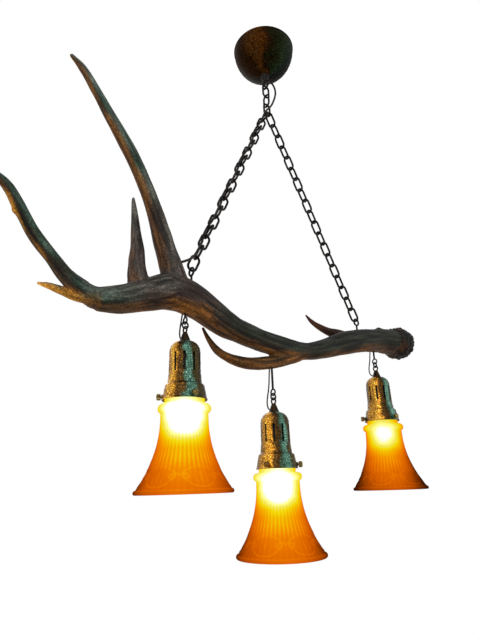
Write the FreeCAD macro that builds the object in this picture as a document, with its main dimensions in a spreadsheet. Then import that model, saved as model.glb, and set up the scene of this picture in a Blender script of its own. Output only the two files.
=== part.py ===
import FreeCAD, Part
import math
import os
import Sketcher

# Antler chandelier: a single shed antler hung level on two chains below a domed ceiling canopy,
# with three bell-shaded pendant lamps on rings under it.
# Frame: millimetres, +Z up, +X along the antler to its burr, origin at the centre of the canopy's
# rim, in the plane of the ceiling.

os.makedirs("parts", exist_ok=True)
doc = FreeCAD.newDocument("antler_chandelier")

# ---------------------------------------------------------------- driving dimensions

SIZES = {
    # ceiling canopy and its hardware
    "canopy_rim": 62.5,
    "canopy_lip": 2.0,
    "canopy_wall": 1.2,
    "canopy_band": 4.0,
    "canopy_depth": 68.0,
    "canopy_curve": 67.0,
    "bar_length": 104.0,
    "bar_width": 16.0,
    "bar_thick": 2.5,
    "bar_hole": 2.5,
    "bar_spacing": 88.9,
    "pipe_radius": 5.0,
    "pipe_bore": 3.4,
    "pipe_end": 73.0,
    "locknut_radius": 8.5,
    "locknut_thick": 4.0,
    "hub_radius": 9.5,
    "hub_tip": 4.0,
    "hub_length": 15.0,
    "loop_ring": 8.0,
    "loop_wire": 2.25,
    "loop_centre": 91.5,
    "connector_radius": 6.5,
    "connector_tip": 4.0,
    "connector_length": 20.0,
    # chain
    "link_wire": 2.0,
    "link_bend": 7.5,
    "link_pitch": 23.9,
    "link_gap": 0.2,
    "pivot_gap": 0.3,
    # screw eyes and hanger rings
    "top_eye_ring": 6.5,
    "top_eye_wire": 1.75,
    "eye_ring": 5.0,
    "eye_wire": 1.3,
    "eye_shank": 1.8,
    "eye_bite": 12.0,
    # lamp, measured down from the top of its husk
    "stem_radius": 5.0,
    "stem_end": 16.0,
    "wire_way": 1.7,
    "cone_top": 3.2,
    "cone_base": 8.5,
    "cone_height": 14.0,
    "husk_wall": 1.2,
    "husk_neck": 6.5,
    "husk_shoulder": 22.5,
    "husk_shoulder_drop": 16.0,
    "husk_shoulder_curve": 16.5,
    "husk_waist": 23.0,
    "husk_waist_drop": 48.0,
    "husk_foot": 24.6,
    "husk_end": 64.0,
    "slot_half": 2.0,
    "slot_top": 20.0,
    "slot_end": 47.0,
    "socket_radius": 17.0,
    "socket_cap": 10.0,
    "socket_cap_end": 16.0,
    "socket_shoulder": 22.0,
    "socket_end": 74.0,
    "socket_bore": 13.4,
    "socket_floor": 44.0,
    "fitter_top": 28.0,
    "fitter_mouth": 32.0,
    "fitter_shoulder": 66.5,
    "fitter_end": 87.0,
    "screw_drop": 81.0,
    "screw_radius": 1.75,
    "screw_reach": 11.5,
    "screw_head": 4.6,
    "screw_head_length": 5.5,
    # bulb
    "bulb_base": 13.1,
    "bulb_base_top": 46.0,
    "bulb_base_end": 72.0,
    "bulb_contact": 4.0,
    "bulb_neck": 12.2,
    "bulb_radius": 24.0,
    "bulb_centre": 113.0,
    "bulb_tip": 137.0,
    "bulb_curve": 52.0,
    "bulb_wall": 0.8,
    # glass shade
    "lip_radius": 28.5,
    "lip_top": 77.5,
    "shade_wall": 2.6,
    "bead_top": 93.0,
    "bead_radius": 37.5,
    "bead_middle": 99.0,
    "bead_end": 105.0,
    "bead_curve": 6.4,
    "shade_waist": 33.3,
    "shade_waist_drop": 111.0,
    "shade_flare": 160.0,
    "shade_rim": 66.5,
    "shade_end": 211.0,
    # cord
    "cord_radius": 2.0,
    "lead_radius": 1.15,
}

# Where each lamp hangs: distance along the antler, the antler's underside there, and the length
# of screw eye that shows below it. One thumb screw points at the screw angle, and the slot angle
# turns the husk. Both are about the lamp's own axis, from +X towards +Y.
# The lead's points, as y and z, run from a hole in the antler to the back of the socket's loop.
LAMPS = {
    "left": {
        "x": -190.0, "under": -640.0, "shank": 0.0, "screw_angle": 142.5, "slot_angle": 4.3,
        "lead": [(8, -632), (11, -643), (15, -654), (16.5, -665), (13, -673.5), (6, -675.7)],
    },
    "centre": {
        "x": -24.0, "under": -703.0, "shank": 30.0, "screw_angle": -35.0, "slot_angle": 26.3,
        "lead": [(5, -694), (7.5, -708), (8.5, -722), (11, -735), (15, -747), (16.5, -758),
                 (13, -766.5), (6, -768.7)],
    },
    "right": {
        "x": 251.0, "under": -634.0, "shank": 13.0, "screw_angle": 142.5, "slot_angle": 10.8,
        "lead": [(8, -628), (10, -641), (12, -652), (15.5, -662), (16.5, -672), (13, -680.5),
                 (6, -682.7)],
    },
}

# The antler: points down the middle of the beam and of each tine, as x, y, z and diameter.
BRANCHES = {
    "beam": [
        (-327, 0, -642, 32), (-295, 0, -635, 41), (-255, 0, -620, 46), (-215, 0, -606, 56),
        (-172, 0, -614, 52), (-129, 0, -634, 43), (-90, 0, -647, 38), (-40, 0, -656, 37),
        (10, 0, -661, 35), (57, 0, -660, 31), (98, 0, -650, 34), (160, 0, -630, 43), (215, 0, -616, 46),
        (269, 0, -607, 48), (318, 0, -604, 56),
    ],
    "burr": [
        (312, 0, -606, 56), (322, 0, -605, 64), (334, 0, -604, 68), (345, 0, -602, 66),
        (353, 0, -601, 58), (357, 0, -602, 38),
    ],
    "royal_tine": [
        (-206, 0, -602, 44), (-214, 0, -570, 38), (-226, -2, -540, 32), (-238, -4, -509, 28),
        (-254, -8, -474, 25), (-280, -12, -427, 22), (-302, -14, -393, 21), (-330, -14, -353, 18),
        (-355, -12, -314, 15), (-376, -8, -281, 12), (-394, -4, -262, 6),
    ],
    "end_tine": [
        (-310, 0, -638, 35), (-329, 0, -640, 30), (-346, -3, -635, 25), (-371, -8, -622, 21),
        (-391, -14, -605, 18), (-420, -22, -580, 17), (-432, -26, -565, 16.5), (-442, -30, -553, 16),
        (-456, -36, -537, 14), (-467, -40, -531, 12), (-479, -46, -530, 9), (-490, -52, -534, 4),
    ],
    "short_tine": [
        (-262, 0, -622, 34), (-269, 0, -598, 30), (-269, 5, -570, 25), (-268, 12, -532, 18),
        (-269, 20, -484, 11), (-271, 25, -450, 5),
    ],
    "low_spur": [
        (-330, -4, -642, 20), (-352, -2, -643, 16), (-371, 10, -635, 12), (-385, 20, -628, 9),
        (-397, 28, -624, 4),
    ],
    "lower_tine": [
        (48, 0, -664, 24), (20, 0, -676, 23), (-8, 1, -686, 22), (-36, 3, -692, 21), (-62, 7, -695, 20),
        (-84, 12, -693, 19), (-102, 18, -687, 15), (-116, 24, -677, 13), (-127, 31, -659, 9),
        (-135, 38, -637, 5),
    ],
    "burr_spur": [
        (178, 2, -618, 26), (160, 14, -608, 21), (148, 24, -601, 16), (140, 36, -591, 13),
        (132, 50, -576, 9), (127, 61, -559, 4),
    ],
}

sheet = doc.addObject("Spreadsheet::Sheet", "Sizes")
for row, (name, value) in enumerate(SIZES.items(), start=1):
    sheet.set(f"A{row}", name)
    sheet.set(f"B{row}", str(value))
    sheet.setAlias(f"B{row}", name)
doc.recompute()

NODES = []


# ---------------------------------------------------------------- helpers

def total(text):
    # value and sheet expression of a sum of sizes, such as "bulb_radius - bulb_wall"
    value = 0.0
    sign = 1.0
    words = []
    for word in text.split():
        if word in ("+", "-"):
            sign = 1.0 if word == "+" else -1.0
            words.append(word)
        elif word[0].isdigit():
            value += sign * float(word)
            words.append(word)
        else:
            value += sign * SIZES[word]
            words.append("Sizes." + word)
    return value, " ".join(words)


def finished(piece, label):
    piece.Label = label
    NODES.append(piece)
    return piece


def plane_of(body, role):
    return next(feature for feature in body.Origin.OriginFeatures if feature.Role == role)


def bulged_arc(start, end, radius, side):
    # the arc that bulges to the right of the way from start to end where side is 1, and whether
    # it starts at the far end, because a sketch's arcs all run anticlockwise
    chord = end - start
    right = FreeCAD.Vector(chord.y, -chord.x, 0).normalize()
    inward = math.sqrt(radius * radius - chord.Length * chord.Length / 4)
    centre = (start + end) * 0.5 - right * side * inward
    first, last = (start, end) if side == 1 else (end, start)
    begin = math.atan2(first.y - centre.y, first.x - centre.x)
    stop = math.atan2(last.y - centre.y, last.x - centre.x)
    if stop < begin:
        stop += 2 * math.pi
    arc = Part.ArcOfCircle(Part.Circle(centre, FreeCAD.Vector(0, 0, 1), radius), begin, stop)
    return arc, side != 1


def outline(body, name, corners, role="XZ_Plane"):
    # a closed sketch: each corner is (x, y), or (x, y, radius, side) where an arc leads to it
    sketch = body.newObject("Sketcher::SketchObject", name)
    sketch.AttachmentSupport = [(plane_of(body, role), "")]
    sketch.MapMode = "FlatFace"
    spots = [FreeCAD.Vector(total(c[0])[0], total(c[1])[0], 0) for c in corners]
    ends = []
    for number, corner in enumerate(corners):
        start, end = spots[number - 1], spots[number]
        backward = False
        if len(corner) == 4:
            curve, backward = bulged_arc(start, end, total(corner[2])[0], corner[3])
        else:
            curve = Part.LineSegment(start, end)
        sketch.addGeometry(curve)
        ends.append((2, 1) if backward else (1, 2))
    for number, corner in enumerate(corners):
        following = (number + 1) % len(corners)
        joint = Sketcher.Constraint("Coincident", number, ends[number][1], following, ends[following][0])
        sketch.addConstraint(joint)
        rules = [("DistanceX", corner[0]), ("DistanceY", corner[1])]
        for kind, text in rules:
            value, expression = total(text)
            rule = Sketcher.Constraint(kind, -1, 1, number, ends[number][1], value)
            index = sketch.addConstraint(rule)
            sketch.setExpression(f"Constraints[{index}]", expression)
        if len(corner) == 4:
            value, expression = total(corner[2])
            index = sketch.addConstraint(Sketcher.Constraint("Radius", number, value))
            sketch.setExpression(f"Constraints[{index}]", expression)
    return sketch


def turned(name, corners):
    # a body turned about its own Z axis; each corner is (radius, height)
    body = doc.addObject("PartDesign::Body", name)
    sketch = outline(body, name + "_profile", corners)
    revolution = body.newObject("PartDesign::Revolution", name + "_turned")
    revolution.Profile = sketch
    revolution.ReferenceAxis = (sketch, ["V_Axis"])
    revolution.Angle = 360.0
    sketch.Visibility = False
    doc.recompute()
    return body


def side_hole(body, name, radius, height):
    # a round hole through the wall on the body's own +X side, at a height up its Z axis
    sketch = body.newObject("Sketcher::SketchObject", name + "_circle")
    sketch.AttachmentSupport = [(plane_of(body, "YZ_Plane"), "")]
    sketch.MapMode = "FlatFace"
    centre = FreeCAD.Vector(0, total(height)[0], 0)
    sketch.addGeometry(Part.Circle(centre, FreeCAD.Vector(0, 0, 1), total(radius)[0]))
    rules = [
        (Sketcher.Constraint("DistanceX", -1, 1, 0, 3, 0.0), "0"),
        (Sketcher.Constraint("DistanceY", -1, 1, 0, 3, total(height)[0]), height),
        (Sketcher.Constraint("Radius", 0, total(radius)[0]), radius),
    ]
    for rule, text in rules:
        index = sketch.addConstraint(rule)
        sketch.setExpression(f"Constraints[{index}]", total(text)[1])
    pocket = body.newObject("PartDesign::Pocket", name)
    pocket.Profile = sketch
    pocket.Type = 1
    pocket.Reversed = True
    sketch.Visibility = False
    doc.recompute()
    return pocket


def repeat_about_z(body, feature, count, angle):
    pattern = body.newObject("PartDesign::PolarPattern", feature.Name + "_pattern")
    pattern.Originals = [feature]
    pattern.Axis = (plane_of(body, "Z_Axis"), [""])
    pattern.Angle = angle
    pattern.Occurrences = count
    body.Tip = pattern
    doc.recompute()
    return pattern


def cylinder(name, radius, height, base, turn=None):
    # the height is a sum of sizes, or a plain number where it follows from other pieces
    piece = doc.addObject("Part::Cylinder", name)
    piece.setExpression("Radius", total(radius)[1])
    if isinstance(height, str):
        piece.setExpression("Height", total(height)[1])
    else:
        piece.Height = height
    rotation = turn if turn is not None else FreeCAD.Rotation()
    piece.Placement = FreeCAD.Placement(base, rotation)
    return piece


def torus(name, ring, wire, centre, turn=None, sweep=360.0):
    piece = doc.addObject("Part::Torus", name)
    piece.setExpression("Radius1", total(ring)[1])
    piece.setExpression("Radius2", total(wire)[1])
    piece.Angle3 = sweep
    rotation = turn if turn is not None else FreeCAD.Rotation()
    piece.Placement = FreeCAD.Placement(centre, rotation)
    return piece


def fused(name, pieces):
    fusion = doc.addObject("Part::MultiFuse", name)
    fusion.Shapes = pieces
    doc.recompute()
    return fusion


def drilled(name, solid, tools):
    cut = doc.addObject("Part::Cut", name)
    cut.Base = solid
    cut.Tool = tools
    doc.recompute()
    return cut


X_AXIS = FreeCAD.Vector(1, 0, 0)
Y_AXIS = FreeCAD.Vector(0, 1, 0)
Z_AXIS = FreeCAD.Vector(0, 0, 1)
FACING_Y = FreeCAD.Rotation(X_AXIS, 90)      # a ring that lies in the XZ plane
FACING_X = FreeCAD.Rotation(Y_AXIS, 90)      # a ring that lies in the YZ plane


# ---------------------------------------------------------------- ceiling canopy

def build_canopy():
    canopy = turned("ceiling_canopy_body", [
        ("canopy_rim", "0"),
        ("canopy_rim", "- canopy_band"),
        ("pipe_radius + 0.3", "- canopy_depth", "canopy_curve", -1),
        ("pipe_radius + 0.3", "- canopy_depth + canopy_wall"),
        ("canopy_rim - canopy_lip", "- canopy_band", "canopy_curve - canopy_wall", 1),
        ("canopy_rim - canopy_lip", "0"),
    ])
    finished(canopy, "ceiling_canopy")

    bar = doc.addObject("Part::Box", "crossbar_strap")
    bar.setExpression("Length", "Sizes.bar_length")
    bar.setExpression("Width", "Sizes.bar_width")
    bar.setExpression("Height", "Sizes.bar_thick")
    low = FreeCAD.Vector(-SIZES["bar_length"] / 2, -SIZES["bar_width"] / 2, -SIZES["bar_thick"])
    bar.Placement = FreeCAD.Placement(low, FreeCAD.Rotation())
    below = FreeCAD.Vector(0, 0, -2 * SIZES["bar_thick"])
    holes = [cylinder("crossbar_centre_hole", "pipe_radius", "bar_thick + 5", below)]
    for side in (-1, 1):
        spot = below + X_AXIS * side * SIZES["bar_spacing"] / 2
        holes.append(cylinder("crossbar_hole", "bar_hole", "bar_thick + 5", spot))
    finished(drilled("crossbar_drilled", bar, fused("crossbar_holes", holes)), "crossbar")

    pipe = turned("nipple_body", [
        ("pipe_bore", "0"),
        ("pipe_bore", "- pipe_end"),
        ("pipe_radius", "- pipe_end"),
        ("pipe_radius", "0"),
    ])
    finished(pipe, "canopy_nipple")

    nut = doc.addObject("Part::Prism", "locknut_hexagon")
    nut.Polygon = 6
    nut.setExpression("Circumradius", "Sizes.locknut_radius")
    nut.setExpression("Height", "Sizes.locknut_thick")
    top = -SIZES["bar_thick"] - SIZES["locknut_thick"]
    nut.Placement = FreeCAD.Placement(FreeCAD.Vector(0, 0, top), FreeCAD.Rotation())
    bore = cylinder("locknut_bore", "pipe_radius", "locknut_thick + 2", FreeCAD.Vector(0, 0, top - 1))
    finished(drilled("locknut_drilled", nut, bore), "nipple_locknut")

    connectors = []
    for angle in (70, 190, 310):
        spot = FreeCAD.Vector(30, 0, -34)
        turn = FreeCAD.Rotation(Z_AXIS, angle)
        cone = doc.addObject("Part::Cone", "wire_connector")
        cone.setExpression("Radius1", "Sizes.connector_radius")
        cone.setExpression("Radius2", "Sizes.connector_tip")
        cone.setExpression("Height", "Sizes.connector_length")
        cone.Placement = FreeCAD.Placement(turn.multVec(spot), FreeCAD.Rotation())
        connectors.append(cone)
    doc.recompute()
    group = doc.addObject("Part::Feature", "wire_connector_group")
    group.Shape = Part.makeCompound([cone.Shape for cone in connectors])
    finished(group, "wire_connectors")


def build_canopy_loop():
    # screwed on the nipple under the canopy: a hub with a wire way out of its side, and a ring
    top = -SIZES["canopy_depth"]
    hub = doc.addObject("Part::Cone", "loop_hub")
    hub.setExpression("Radius1", "Sizes.hub_tip")
    hub.setExpression("Radius2", "Sizes.hub_radius")
    hub.setExpression("Height", "Sizes.hub_length")
    low = FreeCAD.Vector(0, 0, top - SIZES["hub_length"])
    hub.Placement = FreeCAD.Placement(low, FreeCAD.Rotation())
    centre = FreeCAD.Vector(0, 0, -SIZES["loop_centre"])
    ring = torus("loop_ring", "loop_ring", "loop_wire", centre, FACING_X)
    solid = fused("loop_solid", [hub, ring])
    low = FreeCAD.Vector(0, 0, -SIZES["pipe_end"])
    socket = cylinder("loop_socket", "pipe_radius", "pipe_end", low)
    way = cylinder("loop_wire_way", "cord_radius", "hub_radius", CORD_EXIT, FreeCAD.Rotation(Y_AXIS, 90))
    finished(drilled("loop_drilled", solid, fused("loop_bores", [socket, way])), "canopy_loop")


# ---------------------------------------------------------------- chains

LINK_HALF = (SIZES["link_pitch"] + SIZES["link_gap"]) / 2 + SIZES["link_wire"]   # to a bend's wire
END_PLAY = 2 * SIZES["link_wire"] + SIZES["pivot_gap"]


def build_link_form():
    # one oval link standing on Z with its opening toward Y, centred on the origin
    straight = LINK_HALF - SIZES["link_bend"]
    up = torus("link_top", "link_bend", "link_wire", FreeCAD.Vector(0, 0, straight), FACING_Y, 180)
    down = torus("link_bottom", "link_bend", "link_wire", FreeCAD.Vector(0, 0, -straight),
                 FreeCAD.Rotation(X_AXIS, -90), 180)
    sides = []
    for side in (-1, 1):
        foot = FreeCAD.Vector(side * SIZES["link_bend"], 0, -straight)
        sides.append(cylinder("link_leg", "link_wire", 2 * straight, foot))
    return fused("link_form", [up, down] + sides)


def link_at(form, centre, direction, edge_on):
    # a copy of the link with its length along the direction; edge_on turns its opening a quarter
    spin = FreeCAD.Rotation(Z_AXIS, 90 if edge_on else 0)
    lean = FreeCAD.Rotation(Z_AXIS, direction)
    shape = form.Shape.copy()
    shape.Placement = FreeCAD.Placement(centre, lean.multiply(spin))
    return shape


def chain_run(start, end_x, count):
    # from the first link's top bend to the last link's bottom bend, which lies at end_x
    length = count * SIZES["link_pitch"] + 2 * SIZES["link_wire"] + SIZES["link_gap"]
    across = end_x - start.x
    drop = math.sqrt(length * length - across * across)
    down = FreeCAD.Vector(across, 0, -drop).normalize()
    return start, start + down * length, down


LOOP_BOTTOM = -SIZES["loop_centre"] - SIZES["loop_ring"]
FIRST_TOP = LOOP_BOTTOM + SIZES["loop_wire"] + SIZES["link_wire"] + SIZES["pivot_gap"]
FIRST_MIDDLE = FIRST_TOP - LINK_HALF
SECOND_TOP = FIRST_TOP - 2 * LINK_HALF + END_PLAY
SECOND_MIDDLE = SECOND_TOP - LINK_HALF
JOINING_TOP = SECOND_TOP - 2 * LINK_HALF + END_PLAY
JOINING_MIDDLE = JOINING_TOP - LINK_HALF
JOINING_BOTTOM = JOINING_TOP - 2 * LINK_HALF
PAIR_OFFSET = SIZES["link_wire"] + 0.2
PAIR_REACH = SIZES["link_bend"] - 2 * SIZES["link_wire"] - SIZES["link_gap"]
PAIR_TOP = JOINING_BOTTOM + SIZES["link_bend"] - math.sqrt(PAIR_REACH ** 2 - PAIR_OFFSET ** 2)
LEFT_RUN = chain_run(FreeCAD.Vector(-PAIR_OFFSET, 0, PAIR_TOP), -181.0, 18)
RIGHT_RUN = chain_run(FreeCAD.Vector(PAIR_OFFSET, 0, PAIR_TOP), 206.0, 19)


def on_left_chain(along, right, front):
    # a point beside the left chain: millimetres along it, to its right and to the front (-Y)
    start, end, down = LEFT_RUN
    across = FreeCAD.Vector(-down.z, 0, down.x)
    point = start + down * along + across * right
    return (point.x, -front, point.z)


# The supply cord's free stretches: from the hub to the weave, and from the weave to the antler.
CORD_EXIT = FreeCAD.Vector(0, 0, -SIZES["pipe_end"] + 1.0)
CORD_TOP = [(8.0, 0.0, -72.0), (17.0, -0.5, -75.0), (23.5, -1.5, -84.0), (25.5, -2.5, -97.0),
            (22.5, -3.5, -111.0), (17.0, -4.5, -125.0), (11.0, -5.5, -139.0), (4.0, -6.0, -151.0),
            (-5.0, -6.0, -162.0), (-12.0, -5.5, -174.0)]
CORD_TAIL = [on_left_chain(410.0, -6.0, 6.0), on_left_chain(421.0, -9.0, 7.5), (-194.5, -8.5, -553.0)]
CORD_ENTRY = (-205.5, -6.7, -558.5)


def build_chains():
    form = build_link_form()
    for name, middle, edge_on in (
        ("top_link", FIRST_MIDDLE, False),
        ("second_link", SECOND_MIDDLE, True),
        ("joining_link", JOINING_MIDDLE, False),
    ):
        link = doc.addObject("Part::Feature", name + "_solid")
        link.Shape = link_at(form, FreeCAD.Vector(0, 0, middle), Z_AXIS, edge_on)
        finished(link, name)
    for name, (start, end, down), count in (
        ("left_chain", LEFT_RUN, 18),
        ("right_chain", RIGHT_RUN, 19),
    ):
        links = []
        for number in range(count):
            middle = start + down * (LINK_HALF + number * SIZES["link_pitch"])
            links.append(link_at(form, middle, down * -1, number % 2 == 0))
        chain = doc.addObject("Part::Feature", name + "_links")
        chain.Shape = Part.makeCompound(links)
        finished(chain, name)


# ---------------------------------------------------------------- antler

def eye_centre(run, in_plane):
    # centre of the screw eye's ring that hangs on the chain's last bend; the chain leans away in
    # the ring's own plane or square to it
    start, end, down = run
    wire = end - down * (SIZES["link_wire"] + SIZES["top_eye_wire"] + SIZES["pivot_gap"])
    return wire + (down if in_plane else Z_AXIS * -1) * SIZES["top_eye_ring"]


def build_antler():
    branches = []
    for name, stations in BRANCHES.items():
        circles = []
        for number, (x, y, z, width) in enumerate(stations):
            before = FreeCAD.Vector(*stations[max(number - 1, 0)][:3])
            after = FreeCAD.Vector(*stations[min(number + 1, len(stations) - 1)][:3])
            circle = doc.addObject("Part::Circle", f"{name}_{number}")
            circle.Radius = width / 2
            facing = FreeCAD.Rotation(Z_AXIS, after - before)
            circle.Placement = FreeCAD.Placement(FreeCAD.Vector(x, y, z), facing)
            circles.append(circle)
        loft = doc.addObject("Part::Loft", name)
        loft.Sections = circles
        loft.Solid = True
        loft.Ruled = False
        branches.append(loft)
        doc.recompute()
    return fused("antler_solid", branches)


def screw_eye(name, centre, ring, wire, length, facing):
    # a ring with a straight shank below or above it; a negative length points down
    rim = torus(name + "_ring", ring, wire, centre, facing)
    away = Z_AXIS if length > 0 else Z_AXIS * -1
    foot = centre + away * total(ring)[0]
    turn = FreeCAD.Rotation() if length > 0 else FreeCAD.Rotation(X_AXIS, 180)
    shank = cylinder(name + "_shank", "eye_shank", abs(length), foot, turn)
    hole = cylinder(name + "_hole", "eye_shank", abs(length), foot, turn)
    return fused(name + "_solid", [rim, shank]), hole


def build_antler_and_eyes():
    solid = build_antler()
    holes = []
    for name, run, facing in (
        ("left_top_eye", LEFT_RUN, FACING_X),
        ("right_top_eye", RIGHT_RUN, FACING_Y),
    ):
        centre = eye_centre(run, facing is FACING_Y)
        eye, hole = screw_eye(name, centre, "top_eye_ring", "top_eye_wire", -26.0, facing)
        finished(eye, name)
        holes.append(hole)
    for side, lamp in LAMPS.items():
        centre = FreeCAD.Vector(lamp["x"], 0, eye_height(lamp))
        length = lamp["shank"] + SIZES["eye_bite"] + 2.0
        eye, hole = screw_eye(f"{side}_lamp_eye", centre, "eye_ring", "eye_wire", length, FACING_X)
        finished(eye, f"{side}_lamp_eye")
        holes.append(hole)
        lead = lead_points(lamp)
        outward = FreeCAD.Vector(*lead[1]) - FreeCAD.Vector(*lead[0])
        floor = FreeCAD.Vector(*lead[0])
        holes.append(wire_hole(f"{side}_lead_hole", "lead_radius", floor, outward, 10.0))
    outward = FreeCAD.Vector(*CORD_TAIL[-1]) - FreeCAD.Vector(*CORD_ENTRY)
    holes.append(wire_hole("cord_hole", "cord_radius", FreeCAD.Vector(*CORD_ENTRY), outward, 14.0))
    finished(drilled("antler_drilled", solid, fused("antler_holes", holes)), "antler")


def lead_points(lamp):
    return [(lamp["x"], y, z) for y, z in lamp["lead"]]


RING_DROP = 2 * SIZES["eye_ring"] - 2 * SIZES["eye_wire"] - SIZES["pivot_gap"]   # centre to centre


def eye_height(lamp):
    return lamp["under"] - lamp["shank"] - SIZES["eye_ring"] - 2.0


def husk_top(lamp):
    # down from the screw eye through the hanger ring and the socket's loop
    loop = eye_height(lamp) - 2 * RING_DROP
    return loop - SIZES["eye_ring"] - SIZES["cone_height"] + 1.0


def wire_hole(name, radius, floor, outward, depth):
    # a blind hole whose floor is square to the wire that ends in it
    turn = FreeCAD.Rotation(Z_AXIS, outward)
    return cylinder(name, radius + " + 0.3", depth, floor, turn)


# ---------------------------------------------------------------- lamps

def at_lamp(piece, lamp, angle=0.0):
    spot = FreeCAD.Vector(lamp["x"], 0, husk_top(lamp))
    piece.Placement = FreeCAD.Placement(spot, FreeCAD.Rotation(Z_AXIS, angle))


def build_ring(side, lamp):
    centre = FreeCAD.Vector(lamp["x"], 0, eye_height(lamp) - RING_DROP)
    ring = torus(f"{side}_ring_wire", "eye_ring", "eye_wire", centre, FACING_Y)
    doc.recompute()
    finished(ring, f"{side}_hanger_ring")


def build_socket_loop(side, lamp):
    # ring, hollow cone and hollow threaded stem in one piece; the lead enters the cone's back
    top = husk_top(lamp)
    middle = FreeCAD.Vector(lamp["x"], 0, eye_height(lamp) - 2 * RING_DROP)
    ring = torus(f"{side}_loop_ring", "eye_ring", "eye_wire", middle, FACING_X)
    cone = doc.addObject("Part::Cone", f"{side}_loop_cone")
    cone.setExpression("Radius1", "Sizes.cone_base")
    cone.setExpression("Radius2", "Sizes.cone_top")
    cone.setExpression("Height", "Sizes.cone_height")
    cone.Placement = FreeCAD.Placement(FreeCAD.Vector(lamp["x"], 0, top), FreeCAD.Rotation())
    foot = FreeCAD.Vector(lamp["x"], 0, top - SIZES["stem_end"])
    stem = cylinder(f"{side}_loop_stem", "stem_radius", "stem_end", foot)
    solid = fused(f"{side}_loop_solid", [ring, cone, stem])
    bore = cylinder(f"{side}_loop_bore", "wire_way", "stem_end + 5", foot)
    way = cylinder(f"{side}_loop_way", "wire_way", "cone_base",
                   FreeCAD.Vector(lamp["x"], 0, top + 3.5), FreeCAD.Rotation(X_AXIS, -90))
    bores = fused(f"{side}_loop_bores", [bore, way])
    finished(drilled(f"{side}_loop_drilled", solid, bores), f"{side}_socket_loop")


def build_husk(side, lamp):
    husk = turned(f"{side}_husk_body", [
        ("stem_radius", "0"),
        ("husk_neck", "0"),
        ("husk_shoulder", "- husk_shoulder_drop", "husk_shoulder_curve", -1),
        ("husk_waist", "- husk_waist_drop"),
        ("husk_foot", "- husk_end"),
        ("husk_foot - husk_wall", "- husk_end"),
        ("husk_waist - husk_wall", "- husk_waist_drop"),
        ("husk_shoulder - husk_wall", "- husk_shoulder_drop"),
        ("husk_neck", "- husk_wall", "husk_shoulder_curve - husk_wall", 1),
        ("stem_radius", "- husk_wall"),
    ])
    sketch = outline(husk, f"{side}_slot_outline", [
        ("slot_half", "- slot_top"),
        ("slot_half", "- slot_end"),
        ("- slot_half", "- slot_end"),
        ("- slot_half", "- slot_top"),
    ])
    pocket = husk.newObject("PartDesign::Pocket", f"{side}_slot")
    pocket.Profile = sketch
    pocket.Type = 1
    pocket.Midplane = True
    sketch.Visibility = False
    doc.recompute()
    repeat_about_z(husk, pocket, 5, 144.0)
    at_lamp(husk, lamp, lamp["slot_angle"])
    finished(husk, f"{side}_husk")


def build_fitter(side, lamp):
    fitter = turned(f"{side}_fitter_body", [
        ("socket_radius", "- husk_end"),
        ("fitter_top - 3", "- husk_end"),
        ("fitter_top", "- fitter_shoulder", "5", -1),
        ("fitter_mouth", "- fitter_end"),
        ("fitter_mouth - husk_wall", "- fitter_end"),
        ("fitter_top - husk_wall", "- fitter_shoulder - husk_wall"),
        ("socket_radius", "- fitter_shoulder - husk_wall"),
    ])
    hole = side_hole(fitter, f"{side}_screw_hole", "screw_radius", "- screw_drop")
    repeat_about_z(fitter, hole, 3, 360.0)
    at_lamp(fitter, lamp, lamp["screw_angle"])
    finished(fitter, f"{side}_shade_fitter")


def build_thumb_screws(side, lamp):
    # local X is the way out; the tip stops just clear of the glass lip
    tip = SIZES["lip_radius"] + 0.1
    for number in (1, 2, 3):
        angle = lamp["screw_angle"] + 120.0 * (number - 1)
        turn = FreeCAD.Rotation(Z_AXIS, angle)
        lie = turn.multiply(FreeCAD.Rotation(Y_AXIS, 90))
        spot = FreeCAD.Vector(lamp["x"], 0, husk_top(lamp) - SIZES["screw_drop"])
        start = spot + turn.multVec(X_AXIS) * tip
        shank = cylinder(f"{side}_thumb_shank", "screw_radius - 0.05", "screw_reach - 5", start, lie)
        neck = spot + turn.multVec(X_AXIS) * (tip + SIZES["screw_reach"] - 5 - 1.0)
        knob = cylinder(f"{side}_thumb_knob", "screw_head", "screw_head_length", neck, lie)
        finished(fused(f"{side}_thumb_{number}", [shank, knob]), f"{side}_thumb_screw_{number}")


def build_socket(side, lamp):
    socket = turned(f"{side}_socket_body", [
        ("stem_radius", "- husk_wall"),
        ("husk_neck", "- husk_wall"),
        ("socket_cap", "- husk_wall - 3"),
        ("socket_cap", "- socket_cap_end"),
        ("socket_radius", "- socket_shoulder"),
        ("socket_radius", "- socket_end"),
        ("socket_bore", "- socket_end"),
        ("socket_bore", "- socket_floor"),
        ("0", "- socket_floor"),
        ("0", "- stem_end"),
        ("stem_radius", "- stem_end"),
    ])
    at_lamp(socket, lamp)
    finished(socket, f"{side}_socket")


def build_bulb(side, lamp):
    base = turned(f"{side}_base_body", [
        ("0", "- socket_floor"),
        ("bulb_contact", "- socket_floor"),
        ("bulb_base", "- bulb_base_top"),
        ("bulb_base", "- bulb_base_end"),
        ("0", "- bulb_base_end"),
    ])
    at_lamp(base, lamp)
    finished(base, f"{side}_bulb_base")
    glass = turned(f"{side}_glass_body", [
        ("bulb_neck - bulb_wall", "- bulb_base_end"),
        ("bulb_neck", "- bulb_base_end"),
        ("bulb_neck + 1.0", "- socket_end - 3.0"),
        ("bulb_radius", "- bulb_centre", "bulb_curve", 1),
        ("0", "- bulb_tip", "bulb_radius", -1),
        ("0", "- bulb_tip + bulb_wall"),
        ("bulb_radius - bulb_wall", "- bulb_centre", "bulb_radius - bulb_wall", 1),
        ("bulb_neck + 1.0 - bulb_wall", "- socket_end - 3.0", "bulb_curve + bulb_wall", -1),
    ])
    at_lamp(glass, lamp)
    finished(glass, f"{side}_bulb_glass")


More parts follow.
